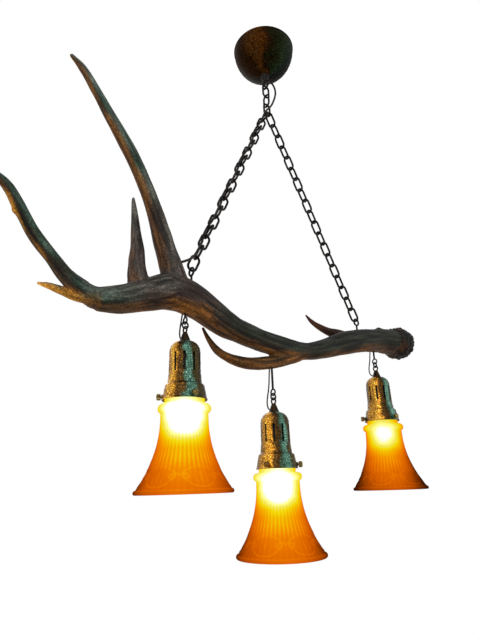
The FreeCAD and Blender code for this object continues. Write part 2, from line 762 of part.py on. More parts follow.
def build_shade(side, lamp):
    # lip, rolled bead and a bell that flares from an upright waist to the rim
    shade = turned(f"{side}_shade_body", [
        ("lip_radius - shade_wall", "- lip_top"),
        ("lip_radius", "- lip_top"),
        ("lip_radius", "- bead_top"),
        ("bead_radius", "- bead_middle", "bead_curve", -1),
        ("shade_waist", "- bead_end", "bead_curve", -1),
        ("shade_waist", "- shade_waist_drop"),
        ("shade_rim", "- shade_end", "shade_flare", 1),
        ("shade_rim - shade_wall", "- shade_end"),
        ("shade_waist - shade_wall", "- shade_waist_drop", "shade_flare + shade_wall", -1),
        ("lip_radius - shade_wall", "- bead_end + 4.0"),
    ])
    at_lamp(shade, lamp)
    finished(shade, f"{side}_shade")


# ---------------------------------------------------------------- cords

def cord_tube(name, points, radius, label):
    # straight runs joined by tangent arcs, each as large as its two runs allow
    points = [FreeCAD.Vector(*point) for point in points]
    edges = []
    radii = []
    here = points[0]
    for before, corner, after in zip(points, points[1:], points[2:]):
        back = before - corner
        ahead = after - corner
        turn = math.pi - back.getAngle(ahead)
        shorter = min(back.Length, ahead.Length)
        trim = 0.45 * shorter
        radii.append(trim / math.tan(turn / 2))
        enter = corner + back.normalize() * trim
        leave = corner + ahead.normalize() * trim
        towards = (enter + leave) * 0.5 - corner
        bend = radii[-1]
        centre = corner + towards.normalize() * (bend / math.cos(turn / 2))
        crown = centre + (corner - centre).normalize() * bend
        edges.append(Part.LineSegment(here, enter).toShape())
        edges.append(Part.Arc(enter, crown, leave).toShape())
        here = leave
    edges.append(Part.LineSegment(here, points[-1]).toShape())
    path = Part.Wire(edges)
    ring = Part.Circle(points[0], points[1] - points[0], radius)
    tube = path.makePipeShell([Part.Wire(ring.toShape())], True, False)
    expected = math.pi * radius ** 2 * path.Length
    print(f"{label}: length {path.Length:.0f} mm, least bend {min(radii):.1f} mm, "
          f"volume {tube.Volume / expected:.4f} of section times length")
    piece = doc.addObject("Part::Feature", name)
    piece.Shape = tube
    return finished(piece, label)


def weave_points():
    # the cord lies in the corner between the links' planes and crosses through every second link
    points = []
    beside = -4.4
    front = 4.4
    first_open = LINK_HALF + SIZES["link_pitch"]
    for number in range(8):
        middle = first_open + number * 2 * SIZES["link_pitch"]
        points.append(on_left_chain(middle - 10.0, beside, front))
        points.append(on_left_chain(middle, -3.1, 0.0))
        points.append(on_left_chain(middle + 10.0, beside, -front))
        front = -front
        points.append(on_left_chain(middle + SIZES["link_pitch"], beside - 0.5, front * 1.12))
    return points


def halfway(first, second):
    return tuple((a + b) / 2 for a, b in zip(first, second))


def build_cords():
    woven = weave_points()
    first_break = halfway(CORD_TOP[-1], woven[0])
    second_break = halfway(woven[-1], CORD_TAIL[0])
    stretches = {
        "supply_cord_top": CORD_TOP + [first_break],
        "supply_cord_chain": [first_break] + woven + [second_break],
        "supply_cord_tail": [second_break] + CORD_TAIL + [CORD_ENTRY],
    }
    for label, points in stretches.items():
        cord_tube(label + "_tube", points, SIZES["cord_radius"], label)
    for side, lamp in LAMPS.items():
        cord_tube(f"{side}_lead_tube", lead_points(lamp), SIZES["lead_radius"], f"{side}_lamp_lead")


build_canopy()
build_canopy_loop()
build_chains()
build_antler_and_eyes()
for side, lamp in LAMPS.items():
    build_ring(side, lamp)
    build_socket_loop(side, lamp)
    build_husk(side, lamp)
    build_fitter(side, lamp)
    build_thumb_screws(side, lamp)
    build_socket(side, lamp)
    build_bulb(side, lamp)
    build_shade(side, lamp)
build_cords()
doc.recompute()

# ---------------------------------------------------------------- checks and files

for item in doc.Objects:
    if "Invalid" in item.State or "Error" in item.State:
        raise RuntimeError(f"{item.Label} failed: {item.State}")
for piece in NODES:
    if piece.Shape.isNull() or not piece.Shape.isValid():
        raise RuntimeError(f"{piece.Label} has no valid shape")
for piece in NODES:
    piece.Shape.exportStep(os.path.join("parts", piece.Label + ".step"))
print(len(NODES), "nodes written")
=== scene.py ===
import math
import bmesh
import bpy
import numpy as np
from mathutils import Matrix, Vector, noise


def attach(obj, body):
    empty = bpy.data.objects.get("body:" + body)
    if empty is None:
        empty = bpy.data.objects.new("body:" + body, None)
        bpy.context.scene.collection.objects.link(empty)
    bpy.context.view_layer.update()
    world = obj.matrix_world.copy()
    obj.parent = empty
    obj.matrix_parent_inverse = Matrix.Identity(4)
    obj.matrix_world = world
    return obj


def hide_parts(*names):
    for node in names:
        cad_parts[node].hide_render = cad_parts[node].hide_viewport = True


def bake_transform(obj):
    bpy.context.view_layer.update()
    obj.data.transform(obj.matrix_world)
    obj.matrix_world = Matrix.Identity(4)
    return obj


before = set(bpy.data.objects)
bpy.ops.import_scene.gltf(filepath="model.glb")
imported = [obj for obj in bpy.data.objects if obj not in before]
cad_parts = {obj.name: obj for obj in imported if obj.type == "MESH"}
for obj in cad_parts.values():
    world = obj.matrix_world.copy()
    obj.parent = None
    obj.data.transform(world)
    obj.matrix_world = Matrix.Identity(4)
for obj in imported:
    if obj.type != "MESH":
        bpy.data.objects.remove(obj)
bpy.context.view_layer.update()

# Antler chandelier with three lit pendant lamps. Metres, +Z up, the ceiling at Z 0.

print("frame loaded")


def linearColour(code):
    parts = [int(code[i:i + 2], 16) / 255 for i in (1, 3, 5)]
    return [p / 12.92 if p <= 0.04045 else ((p + 0.055) / 1.055) ** 2.4 for p in parts] + [1.0]


def addNode(tree, kind, settings, links=()):
    # settings are node properties, sockets by name or number, or a ramp's stops
    node = tree.nodes.new("ShaderNode" + kind)
    for name, value in settings.items():
        if name == "stops":
            elements = node.color_ramp.elements
            elements[0].position, elements[1].position = value[0][0], value[-1][0]
            for place, shade in value[1:-1]:
                elements.new(place)
            for element, (place, shade) in zip(elements, value):
                element.color = linearColour(shade) if isinstance(shade, str) else (shade, shade, shade, 1)
        elif isinstance(name, str) and hasattr(node, name):
            setattr(node, name, value)
        else:
            node.inputs[name].default_value = linearColour(value) if isinstance(value, str) else value
    for name, source, output in links:
        tree.links.new(source.outputs[output], node.inputs[name])
    return node


def newMaterial(name, settings):
    material = bpy.data.materials.new(name)
    material.use_nodes = True
    tree = material.node_tree
    surface = tree.nodes["Principled BSDF"]
    for socket, value in settings.items():
        surface.inputs[socket].default_value = linearColour(value) if isinstance(value, str) else value
    return material, tree, surface


def placed(name, data, material, body, nodes=()):
    piece = bpy.data.objects.new(name, data)
    bpy.context.scene.collection.objects.link(piece)
    piece.data.materials.append(material)
    if nodes:
        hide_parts(*nodes)
    if body:
        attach(piece, body)
    return piece


def bmeshToMesh(form, name, smooth=True):
    mesh = bpy.data.meshes.new(name)
    form.to_mesh(mesh)
    form.free()
    if smooth:
        mesh.shade_smooth()
    return mesh


def addWall(piece, thickness):
    # inwards from the outer face
    wall = piece.modifiers.new("wall", "SOLIDIFY")
    wall.thickness = thickness
    wall.offset = -1.0


def repaint(node, material):
    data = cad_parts[node].data
    data.materials.clear()
    data.materials.append(material)


def arcPoints(start, end, radius, outward, count):
    # points of an arc from start to end, start left out; outward bulges away from the axis going down
    start, end = Vector(start), Vector(end)
    chord = end - start
    side = Vector((-chord.y, chord.x)).normalized() * (1 if outward else -1)
    centre = (start + end) / 2 - side * math.sqrt(radius ** 2 - chord.length_squared / 4)
    spots = []
    for step in range(1, count + 1):
        spot = start.lerp(end, step / count) - centre
        spots.append(tuple(centre + spot.normalized() * radius))
    return spots


def linePoints(start, end, count):
    return [tuple(Vector(start).lerp(Vector(end), step / count)) for step in range(1, count + 1)]


def spun(profile, steps):
    # a wall of one thickness turned about Z; the profile is radius and height in millimetres
    form = bmesh.new()
    spots = [form.verts.new((radius / 1000, 0, height / 1000)) for radius, height in profile]
    edges = [form.edges.new(pair) for pair in zip(spots, spots[1:])]
    bmesh.ops.spin(form, geom=spots + edges, cent=(0, 0, 0), axis=(0, 0, 1), angle=math.tau,
                   steps=steps, use_merge=True)
    bmesh.ops.remove_doubles(form, verts=form.verts, dist=1e-6)
    bmesh.ops.recalc_face_normals(form, faces=form.faces)
    form.faces.ensure_lookup_table()
    face = max(form.faces, key=lambda f: Vector(f.calc_center_median().xy).length)
    if face.normal.xy.dot(face.calc_center_median().xy) < 0:
        bmesh.ops.reverse_faces(form, faces=form.faces)
    return form


def hammered(spot, pitch, depth):
    # pebbles a pitch apart, depth high, with grooves between them
    near = noise.voronoi(spot / pitch)[0]
    return depth * (min(1.0, (near[1] - near[0]) * 2.2) - 0.6)


# each lamp's place, how its slots, screws and painted reflection bands are turned in degrees, and how its
# glass's painted glow goes:
# glow is added by the bulb, dusk at the rim, and fade darkens the sides as painted shade
lamps = {
    "left": {
        "centre": (-0.190, 0, -0.6792), "slotAngle": 4.3, "screwAngle": 142.5, "reflectionTurn": 5,
        "glow": 0.02, "dusk": -0.02, "fade": 0.95,
    },
    "centre": {
        "centre": (-0.024, 0, -0.7722), "slotAngle": 26.3, "screwAngle": -35.0, "reflectionTurn": 12,
        "glow": 0.01, "dusk": -0.05, "fade": 1.0,
    },
    "right": {
        "centre": (0.251, 0, -0.6862), "slotAngle": 10.8, "screwAngle": 142.5, "reflectionTurn": 14,
        "glow": -0.07, "dusk": -0.15, "fade": 1.25,
    },
}

brassSheet = {
    "grit": 0.0034,      # from one hammer mark to the next
    "cloud": 0.016667,   # size of the drifts in the painted reflection bands and in the roughness
    "wander": 0.02,      # how far a drift moves the edge of a band
    # painted coloured reflections, once round the lamp, from -X by -Y, +X and +Y
    "reflectionBands": [
        (0.0, "#ffc04c"), (0.055, "#f2a836"), (0.085, "#5c3e14"), (0.135, "#46300f"), (0.155, "#44604c"),
        (0.175, "#5a8472"), (0.215, "#5a8472"), (0.245, "#423a18"), (0.42, "#4a3414"), (0.52, "#9a7024"),
        (0.64, "#4e3714"), (0.78, "#46705e"), (0.88, "#5a4016"), (1.0, "#e0a03a"),
    ],
    # from the groove between two marks to the top of a mark: dark tarnish in the grooves, a painted glint on
    # the tops
    "tarnishAndGlint": [(0.0, 0.22), (0.12, 0.7), (0.3, 1.3), (0.5, 2.2)],
}


def hammeredBrass(name, centre, turn):
    # sheet brass, hammered and lacquered, with painted coloured reflections round it: gold, brown and teal
    # bands
    material, tree, surface = newMaterial(name, {"Metallic": 0.9})
    place = addNode(tree, "TexCoord", {})
    local = addNode(tree, "Mapping", {"vector_type": "TEXTURE", "Location": centre,
                                      "Rotation": (0, 0, math.radians(turn))}, [("Vector", place, "Object")])
    cloud = addNode(tree, "TexNoise", {"Scale": 1 / brassSheet["cloud"], "Detail": 5.0},
                    [("Vector", place, "Object")])
    shift = addNode(tree, "VectorMath", {"operation": "SUBTRACT", 1: (0.5, 0.5, 0.5)}, [(0, cloud, "Color")])
    spread = addNode(tree, "VectorMath", {"operation": "SCALE", "Scale": brassSheet["wander"]},
                     [(0, shift, 0)])
    moved = addNode(tree, "VectorMath", {"operation": "ADD"}, [(0, local, 0), (1, spread, 0)])
    around = addNode(tree, "TexGradient", {"gradient_type": "RADIAL"}, [("Vector", moved, 0)])
    reflectionBands = addNode(tree, "ValToRGB", {"stops": brassSheet["reflectionBands"]}, [("Fac", around, "Fac")])
    pits = addNode(tree, "TexVoronoi", {"feature": "DISTANCE_TO_EDGE", "Scale": 1 / brassSheet["grit"]},
                   [("Vector", place, "Object")])
    tarnishAndGlint = addNode(tree, "ValToRGB", {"stops": brassSheet["tarnishAndGlint"]}, [("Fac", pits, 0)])
    colour = addNode(tree, "Mix", {"data_type": "RGBA", "blend_type": "MULTIPLY", 0: 1.0},
                     [(6, reflectionBands, 0), (7, tarnishAndGlint, 0)])
    tree.links.new(colour.outputs[2], surface.inputs["Base Color"])
    dull = addNode(tree, "MapRange", {"To Min": 0.26, "To Max": 0.5}, [("Value", cloud, "Fac")])
    tree.links.new(dull.outputs[0], surface.inputs["Roughness"])
    bump = addNode(tree, "Bump", {"Strength": 0.5, "Distance": 0.0004}, [("Height", pits, 0)])
    tree.links.new(bump.outputs[0], surface.inputs["Normal"])
    return material


def rubbedSurface(name, dark, light, metallic, roughness, grain):
    # an even surface with soft marks a grain across, light on what is rubbed, dark in the hollows
    material, tree, surface = newMaterial(name, {"Metallic": metallic, "Specular IOR Level": 0.15})
    place = addNode(tree, "TexCoord", {})
    cloud = addNode(tree, "TexNoise", {"Scale": 1 / grain, "Detail": 6.0, "Roughness": 0.6},
                    [("Vector", place, "Object")])
    colour = addNode(tree, "ValToRGB", {"stops": [(0.35, dark), (0.68, light)]}, [("Fac", cloud, "Fac")])
    dull = addNode(tree, "MapRange", {"To Min": roughness - 0.08, "To Max": roughness + 0.14},
                   [("Value", cloud, "Fac")])
    tree.links.new(colour.outputs[0], surface.inputs["Base Color"])
    tree.links.new(dull.outputs[0], surface.inputs["Roughness"])
    bump = addNode(tree, "Bump", {"Strength": 0.35, "Distance": 0.0003}, [("Height", cloud, "Fac")])
    tree.links.new(bump.outputs[0], surface.inputs["Normal"])
    return material


# black enamel over forged wire: soft, almost black, worn to brown
forgedIron = rubbedSurface("forgedWireBlackEnamel", "#060505", "#1a130d", 0.0, 0.5, 0.006)
# cast brass, browned and waxed: dull, dark
darkBrass = rubbedSurface("castBrassDarkened", "#0f0b07", "#3c2812", 0.6, 0.42, 0.005)
# turned brass, tarnished to olive: small bright edges
screwBrass = rubbedSurface("turnedBrassTarnished", "#2a2414", "#9a8450", 1.0, 0.3, 0.003)
# bright zinc on rolled steel, hidden in the canopy
zincSteel = rubbedSurface("zincPlatedSteel", "#8d8f90", "#c9cbc9", 1.0, 0.35, 0.004)
# rolled and crimped lamp cap: pale and shiny
capMetal = rubbedSurface("rolledBrassCap", "#8a8378", "#c8c0ae", 1.0, 0.3, 0.002)
# moulded phenolic lamp holder: black-brown, satin
phenolic = rubbedSurface("mouldedPhenolic", "#0c0a09", "#1d1815", 0.0, 0.4, 0.004)
# moulded nylon shells of the wire connectors: orange, satin
connectorPlastic = rubbedSurface("mouldedNylonOrange", "#a8560c", "#d8781c", 0.0, 0.45, 0.005)
print("metals ready")

canopy = {
    "steps": 220, "pitch": 0.0042, "depth": 0.00055, "wall": 0.0011,
    # millimetres
    "rim": 62.5, "bead": 1.3, "hole": 5.4, "bottom": 68.0, "curve": 67.0,
    "cloud": 0.025,     # size of the drifts in the painted reflection bands and in the bumps
    "wander": 0.05,
    # painted coloured reflections, once round the dome, from -X by -Y, +X and +Y
    "reflectionBands": [
        (0.0, "#2a1606"), (0.06, "#4a2c10"), (0.12, "#4a2808"), (0.17, "#24160a"), (0.22, "#1e220f"),
        (0.28, "#26301c"), (0.34, "#1c2620"), (0.45, "#14110d"), (0.6, "#2a1a0c"), (0.75, "#1c1f14"),
        (0.9, "#301c0c"), (1.0, "#2a1606"),
    ],
    # from the groove between two marks to the top of a mark: dark tarnish in the grooves, a painted glint on
    # the tops
    "tarnishAndGlint": [(0.0, 0.2), (0.1, 0.6), (0.3, 1.3), (0.5, 2.4)],
}


def canopyBronze():
    # spun steel, hammered, in a heat-browned bronze lacquer with painted coloured reflections: rust orange on
    # one side, green on the other, and a painted glint on the hammer marks
    material, tree, surface = newMaterial("hammeredBronzeLacquer", {
        "Metallic": 0.35, "Specular IOR Level": 0.0, "Roughness": 0.5})
    place = addNode(tree, "TexCoord", {})
    cloud = addNode(tree, "TexNoise", {"Scale": 1 / canopy["cloud"], "Detail": 6.0},
                    [("Vector", place, "Object")])
    shift = addNode(tree, "VectorMath", {"operation": "SUBTRACT", 1: (0.5, 0.5, 0.5)}, [(0, cloud, "Color")])
    spread = addNode(tree, "VectorMath", {"operation": "SCALE", "Scale": canopy["wander"]},
                     [(0, shift, 0)])
    moved = addNode(tree, "VectorMath", {"operation": "ADD"}, [(0, place, "Object"), (1, spread, 0)])
    around = addNode(tree, "TexGradient", {"gradient_type": "RADIAL"}, [("Vector", moved, 0)])
    reflectionBands = addNode(tree, "ValToRGB", {"stops": canopy["reflectionBands"]}, [("Fac", around, "Fac")])
    pits = addNode(tree, "TexVoronoi", {"feature": "DISTANCE_TO_EDGE", "Scale": 1 / canopy["pitch"]},
                   [("Vector", place, "Object")])
    tarnishAndGlint = addNode(tree, "ValToRGB", {"stops": canopy["tarnishAndGlint"]}, [("Fac", pits, 0)])
    colour = addNode(tree, "Mix", {"data_type": "RGBA", "blend_type": "MULTIPLY", 0: 1.0},
                     [(6, reflectionBands, 0), (7, tarnishAndGlint, 0)])
    tree.links.new(colour.outputs[2], surface.inputs["Base Color"])
    bump = addNode(tree, "Bump", {"Strength": 0.2, "Distance": 0.0004}, [("Height", cloud, "Fac")])
    tree.links.new(bump.outputs[0], surface.inputs["Normal"])
    return material


def makeCanopy():
    rim, bead = canopy["rim"], canopy["bead"]
    profile = [(rim - 1.0, 0.0), (rim, -0.2), (rim + bead * 0.5, -1.2), (rim + bead * 0.4, -2.4),
               (rim - 0.2, -3.4), (rim - 0.3, -4.2)]
    profile += arcPoints(profile[-1], (canopy["hole"], -canopy["bottom"]), canopy["curve"], True, 72)
    form = spun(profile, canopy["steps"])
    # the rolled rim and the edge of the hole stay smooth
    for vert in form.verts:
        if vert.co.z < -0.0045 and vert.co.xy.length > 0.008:
            outward = Vector((vert.co.x, vert.co.y, vert.co.z + 0.0017)).normalized()
            vert.co += outward * hammered(vert.co, canopy["pitch"], canopy["depth"])
    piece = placed("canopyDome", bmeshToMesh(form, "canopyDome"), canopyBronze(), "canopy",
                   ["ceiling_canopy"])
    addWall(piece, canopy["wall"])


makeCanopy()
for node, material in (
    ("canopy_loop", forgedIron), ("canopy_nipple", zincSteel), ("crossbar", zincSteel),
    ("nipple_locknut", zincSteel), ("wire_connectors", connectorPlastic), ("top_link", forgedIron),
    ("second_link", forgedIron), ("joining_link", forgedIron), ("left_chain", forgedIron),
    ("right_chain", forgedIron), ("left_top_eye", forgedIron), ("right_top_eye", forgedIron),
):
    repaint(node, material)
print("canopy and chains ready")

antler = {
    # points down the middle of each tine in millimetres, and its diameter there
    "tines": {
        "beam": [
            (-327, 0, -642, 32), (-295, 0, -635, 41), (-255, 0, -620, 46), (-215, 0, -606, 56),
            (-172, 0, -614, 52), (-129, 0, -634, 43), (-90, 0, -647, 38), (-40, 0, -656, 37),
            (10, 0, -661, 35), (57, 0, -660, 31), (98, 0, -650, 34), (160, 0, -630, 43),
            (215, 0, -616, 46), (269, 0, -607, 48), (318, 0, -604, 56),
        ],
        "burr": [
            (312, 0, -606, 56), (322, 0, -605, 64), (334, 0, -604, 68), (345, 0, -602, 66),
            (353, 0, -601, 58), (357, 0, -602, 38),
        ],
        "royal": [
            (-206, 0, -602, 44), (-214, 0, -570, 38), (-226, -2, -540, 32), (-238, -4, -509, 28),
            (-254, -8, -474, 25), (-280, -12, -427, 22), (-302, -14, -393, 21), (-330, -14, -353, 18),
            (-355, -12, -314, 15), (-376, -8, -281, 12), (-394, -4, -262, 6),
        ],
        "end": [
            (-310, 0, -638, 35), (-329, 0, -640, 30), (-346, -3, -635, 25), (-371, -8, -622, 21),
            (-391, -14, -605, 18), (-420, -22, -580, 17), (-432, -26, -565, 16.5), (-442, -30, -553, 16),
            (-456, -36, -537, 14), (-467, -40, -531, 12), (-479, -46, -530, 9), (-490, -52, -534, 4),
        ],
        "short": [
            (-262, 0, -622, 34), (-269, 0, -598, 30), (-269, 5, -570, 25), (-268, 12, -532, 18),
            (-269, 20, -484, 11), (-271, 25, -450, 5),
        ],
        "lowSpur": [
            (-330, -4, -642, 20), (-352, -2, -643, 16), (-371, 10, -635, 12), (-385, 20, -628, 9),
            (-397, 28, -624, 4),
        ],
        "lower": [
            (48, 0, -664, 24), (20, 0, -676, 23), (-8, 1, -686, 22), (-36, 3, -692, 21), (-62, 7, -695, 20),
            (-84, 12, -693, 19), (-102, 18, -687, 15), (-116, 24, -677, 13), (-127, 31, -659, 9),
            (-135, 38, -637, 5),
        ],
        "burrSpur": [
            (178, 2, -618, 26), (160, 14, -608, 21), (148, 24, -601, 16), (140, 36, -591, 13),
            (132, 50, -576, 9), (127, 61, -559, 4),
        ],
    },
    "voxel": 0.0016,
    "furrow": 0.0013,     # depth of the lengthwise furrows
    "furrowPitch": 0.0055,
    "stretch": 11,        # how many times longer than wide a furrow is
    "swell": 0.0012, "swellPitch": 0.045,
    "pearl": 0.0052, "pearlPitch": 0.0085, "smallPearlPitch": 0.006,
    "grain": 0.00303, "speck": 0.002381,
    "knobRise": 0.0035,
    # place and radius in millimetres
    "knobs": [(-27, -12, -702, 7), (0, -13, -692, 6), (-50, -16, -648, 7), (270, -5, -584, 8),
              (-447, -28, -563, 5), (120, -14, -636, 5), (-150, -20, -640, 6)],
    # stain colours and painted light: the teal is a painted sheen, the warm orange painted light, the gold a
    # painted highlight; the black is also painted shade on the tops, and the pale grey also a painted sheen
    "stain": {"ground": "#2a2218", "paintedTealSheen": "#224639", "paintedWarmLight": "#6e451a", "fork": "#3c2f2a",
              "blackAndTopShade": "#0d0a07", "paintedGoldHighlight": "#c98a2c", "rust": "#4a2410", "paleGreyAndSheen": "#66665e"},
}


def tineSamples():
    # rows of x, y, z, radius and distance along, a few millimetres apart, with each one's direction
    samples = {}
    for name, stations in antler["tines"].items():
        rows = []
        along = 0.0
        for here, there in zip(stations, stations[1:]):
            start, end = Vector(here[:3]) / 1000, Vector(there[:3]) / 1000
            heading = (end - start).normalized()
            for step in range(8):
                spot = start.lerp(end, step / 8)
                radius = (here[3] + (there[3] - here[3]) * step / 8) / 2000
                rows.append([*spot, radius, along + (end - start).length * step / 8, *heading])
            along += (end - start).length
        samples[name] = np.array(rows)
    return samples


def smoothStep(low, high, value):
    share = np.clip((value - low) / (high - low), 0, 1)
    return share * share * (3 - 2 * share)


def antlerCore():
    # one tapering tube for each tine, grown together by a voxel remesh
    curve = bpy.data.curves.new("antlerCore", "CURVE")
    curve.dimensions = "3D"
    curve.bevel_depth = 1.0
    curve.bevel_resolution = 10
    curve.resolution_u = 10
    curve.use_fill_caps = True
    for stations in antler["tines"].values():
        spline = curve.splines.new("BEZIER")
        spline.bezier_points.add(len(stations) - 1)
        for point, (x, y, z, width) in zip(spline.bezier_points, stations):
            point.co = (x / 1000, y / 1000, z / 1000)
            point.radius = width / 2000
            point.handle_left_type = point.handle_right_type = "AUTO"
    tube = bpy.data.objects.new("antlerTube", curve)
    bpy.context.scene.collection.objects.link(tube)
    core = bpy.data.objects.new("antlerCore", bpy.data.meshes.new_from_object(tube))
    bpy.data.objects.remove(tube)
    bpy.context.scene.collection.objects.link(core)
    grow = core.modifiers.new("grow", "REMESH")
    grow.mode = "VOXEL"
    grow.voxel_size = antler["voxel"] * 1
    grown = core.evaluated_get(bpy.context.evaluated_depsgraph_get())
    form = bmesh.new()
    form.from_mesh(grown.to_mesh())
    bpy.data.objects.remove(core)
    for turn in range(4):
        bmesh.ops.smooth_vert(form, verts=form.verts, factor=0.5, use_axis_x=True, use_axis_y=True,
                              use_axis_z=True)
    return form


def waxedHorn():
    # shed antler, stained, waxed and rubbed: satin, with fine streaks along each tine; its vertex colours
    # hold the painted light and shade
    material, tree, surface = newMaterial("antlerStainedWaxedPaintedLight", {"Specular IOR Level": 0.12})
    base = addNode(tree, "Attribute", {"attribute_name": "stain"})
    lengthwise = addNode(tree, "Attribute", {"attribute_name": "grain"})
    streak = addNode(tree, "TexNoise", {"Scale": 1 / antler["grain"], "Detail": 6.0, "Roughness": 0.65},
                     [("Vector", lengthwise, "Vector")])
    place = addNode(tree, "TexCoord", {})
    speck = addNode(tree, "TexNoise", {"Scale": 1 / antler["speck"], "Detail": 4.0},
                    [("Vector", place, "Object")])
    fine = addNode(tree, "Math", {"operation": "MULTIPLY"}, [(0, streak, "Fac"), (1, speck, "Fac")])
    value = addNode(tree, "ValToRGB", {"stops": [(0.13, 0.35), (0.25, 0.9), (0.40, 2.2)]},
                    [("Fac", fine, 0)])
    colour = addNode(tree, "Mix", {"data_type": "RGBA", "blend_type": "MULTIPLY", 0: 1.0},
                     [(6, base, "Color"), (7, value, 0)])
    tree.links.new(colour.outputs[2], surface.inputs["Base Color"])
    dull = addNode(tree, "MapRange", {"To Min": 0.42, "To Max": 0.72}, [("Value", speck, "Fac")])
    tree.links.new(dull.outputs[0], surface.inputs["Roughness"])
    bump = addNode(tree, "Bump", {"Strength": 0.5, "Distance": 0.0006}, [("Height", fine, 0)])
    tree.links.new(bump.outputs[0], surface.inputs["Normal"])
    return material


def makeAntler():
    form = antlerCore()
    form.normal_update()
    form.verts.ensure_lookup_table()
    spots = np.array([v.co for v in form.verts])
    normals = np.array([v.normal for v in form.verts])
    count = len(spots)
    score = {}
    nearest = {}
    for name, rows in tineSamples().items():
        best = np.full(count, 1e9)
        index = np.zeros(count, int)
        for number, row in enumerate(rows):
            gap = np.linalg.norm(spots - row[:3], axis=1) / row[3]
            closer = gap < best
            best[closer] = gap[closer]
            index[closer] = number
        score[name] = best
        nearest[name] = rows[index]
    names = list(score)
    table = np.array([score[name] for name in names])
    lowest = table.min(axis=0)
    owner = table.argmin(axis=0)
    weights = np.exp(-7 * (table - lowest))
    weights[weights < 0.05] = 0
    weights /= weights.sum(axis=0)
    furrow = np.zeros(count)
    grain = np.zeros((count, 3))
    pitch = antler["furrowPitch"]
    for number, name in enumerate(names):
        rows = nearest[name]
        heading = rows[:, 5:8]
        side = np.cross(heading, (0.0, 1.0, 0.12))
        side /= np.linalg.norm(side, axis=1)[:, None]
        up = np.cross(side, heading)
        away = spots - rows[:, :3]
        length = np.linalg.norm(away, axis=1) + 1e-9
        across = (away * side).sum(axis=1) / length * rows[:, 3]
        over = (away * up).sum(axis=1) / length * rows[:, 3]
        along = rows[:, 4] + (away * heading).sum(axis=1)
        mine = np.nonzero(weights[number] > 0)[0]
        for i in mine:
            lengthwise = along[i] / pitch / antler["stretch"] + number * 7
            place = Vector((across[i] / pitch, over[i] / pitch, lengthwise))
            ridge = noise.noise(place) * 1.1 + 0.6 * noise.noise(place * 2.1)
            furrow[i] += weights[number][i] * ridge
        own = owner == number
        grain[own] = np.stack([across, over, along / antler["stretch"] + number * 0.05], axis=1)[own]
    width = np.zeros(count)
    for number, name in enumerate(names):
        width += weights[number] * nearest[name][:, 3]
    plump = smoothStep(0.004, 0.013, width)
    x, y, z = spots.T
    burr = smoothStep(0.296, 0.325, x)
    lump = np.zeros(count)
    swell = np.zeros(count)
    for i in range(count):
        spot = Vector(spots[i])
        swell[i] = noise.noise(spot / antler["swellPitch"])
        if burr[i] > 0:
            near = noise.voronoi(spot / antler["pearlPitch"])[0]
            lump[i] = burr[i] * (0.55 - near[0])
        elif x[i] > 0.1:
            near = noise.voronoi(spot / antler["smallPearlPitch"])[0]
            lump[i] = 0.25 * (x[i] - 0.1) / 0.2 * max(0.0, 0.4 - near[0])
    knob = np.zeros(count)
    for kx, ky, kz, size in antler["knobs"]:
        gap = np.linalg.norm(spots - np.array((kx, ky, kz)) / 1000, axis=1) / (size / 1000)
        knob += antler["knobRise"] * np.exp(-gap * gap * 1.6)
    push = (furrow * antler["furrow"] * (0.25 + 0.75 * plump) * (1 - burr)
            + swell * antler["swell"] * plump + lump * antler["pearl"] + knob)
    spots = spots + normals * push[:, None]
    for vert, spot in zip(form.verts, spots):
        vert.co = spot
    mesh = bmeshToMesh(form, "antlerHorn")

    # stain and painted light: a painted teal sheen on the faces that look to the front, painted warm light to
    # the left and below, painted shade on the tops, black on the burr
    stain = {name: np.array(linearColour(code)[:3]) for name, code in antler["stain"].items()}
    cloud = np.array([noise.noise(Vector(spot) / 0.03) for spot in spots])
    front = normals @ (Vector((-0.22, -0.90, 0.36)).normalized())
    left = normals @ (Vector((-0.80, -0.25, -0.55)).normalized())
    top = normals[:, 2]
    colour = np.tile(stain["ground"], (count, 1))

    def mix(name, share):
        nonlocal colour
        share = np.clip(share, 0, 1)[:, None]
        colour = colour * (1 - share) + stain[name] * share

    tineSide = smoothStep(-0.14, -0.26, x)
    nearFork = smoothStep(0.13, 0.05, np.hypot(x + 0.215, (z + 0.565) * 0.8))
    # painted teal sheen on the faces turned to the front, less by the fork
    facing = smoothStep(0.35, 0.95, front + cloud * 0.35)
    mix("paintedTealSheen", facing * (0.22 + 0.63 * tineSide) * (1 - 0.75 * nearFork))
    mix("fork", nearFork * 0.8)
    # painted pale sheen on the faces turned most to the front, on the left tines
    mix("paleGreyAndSheen", smoothStep(0.6, 1.0, front + cloud * 0.4) * 0.45 * smoothStep(-0.18, -0.25, x))
    # painted shade on the tops, deeper to the right
    mix("blackAndTopShade", smoothStep(0.25, 0.85, top + cloud * 0.3) * (0.45 + 0.4 * smoothStep(-0.2, 0.05, x)))
    # painted warm light on the faces turned to the left and down
    mix("paintedWarmLight", smoothStep(0.55, 1.05, left + cloud * 0.5) * (0.25 + 0.45 * tineSide))
    # painted gold highlight on the faces turned hard to the left, low on the left tines
    lowLeft = smoothStep(-0.30, -0.36, x) * smoothStep(-0.50, -0.56, z)
    mix("paintedGoldHighlight", smoothStep(0.86, 0.99, left + cloud * 0.10) * 0.8 * lowLeft)
    # painted orange lamp light under the antler, strongest over the lamps
    under = smoothStep(0.35, 0.95, -top + cloud * 0.3)
    nearLamp = np.maximum.reduce([np.exp(-((x - lampX) / 0.09) ** 2) for lampX in (-0.19, -0.024, 0.20)])
    mix("paintedWarmLight", under * (0.25 + 0.65 * nearLamp))
    for number, name in enumerate(names):
        own = weights[number]
        # painted warm lamp light on the lower tine, less on its tops
        if name == "lower":
            mix("paintedWarmLight", own * (0.65 + 0.35 * cloud) * (1 - 0.6 * (top > 0.5)))
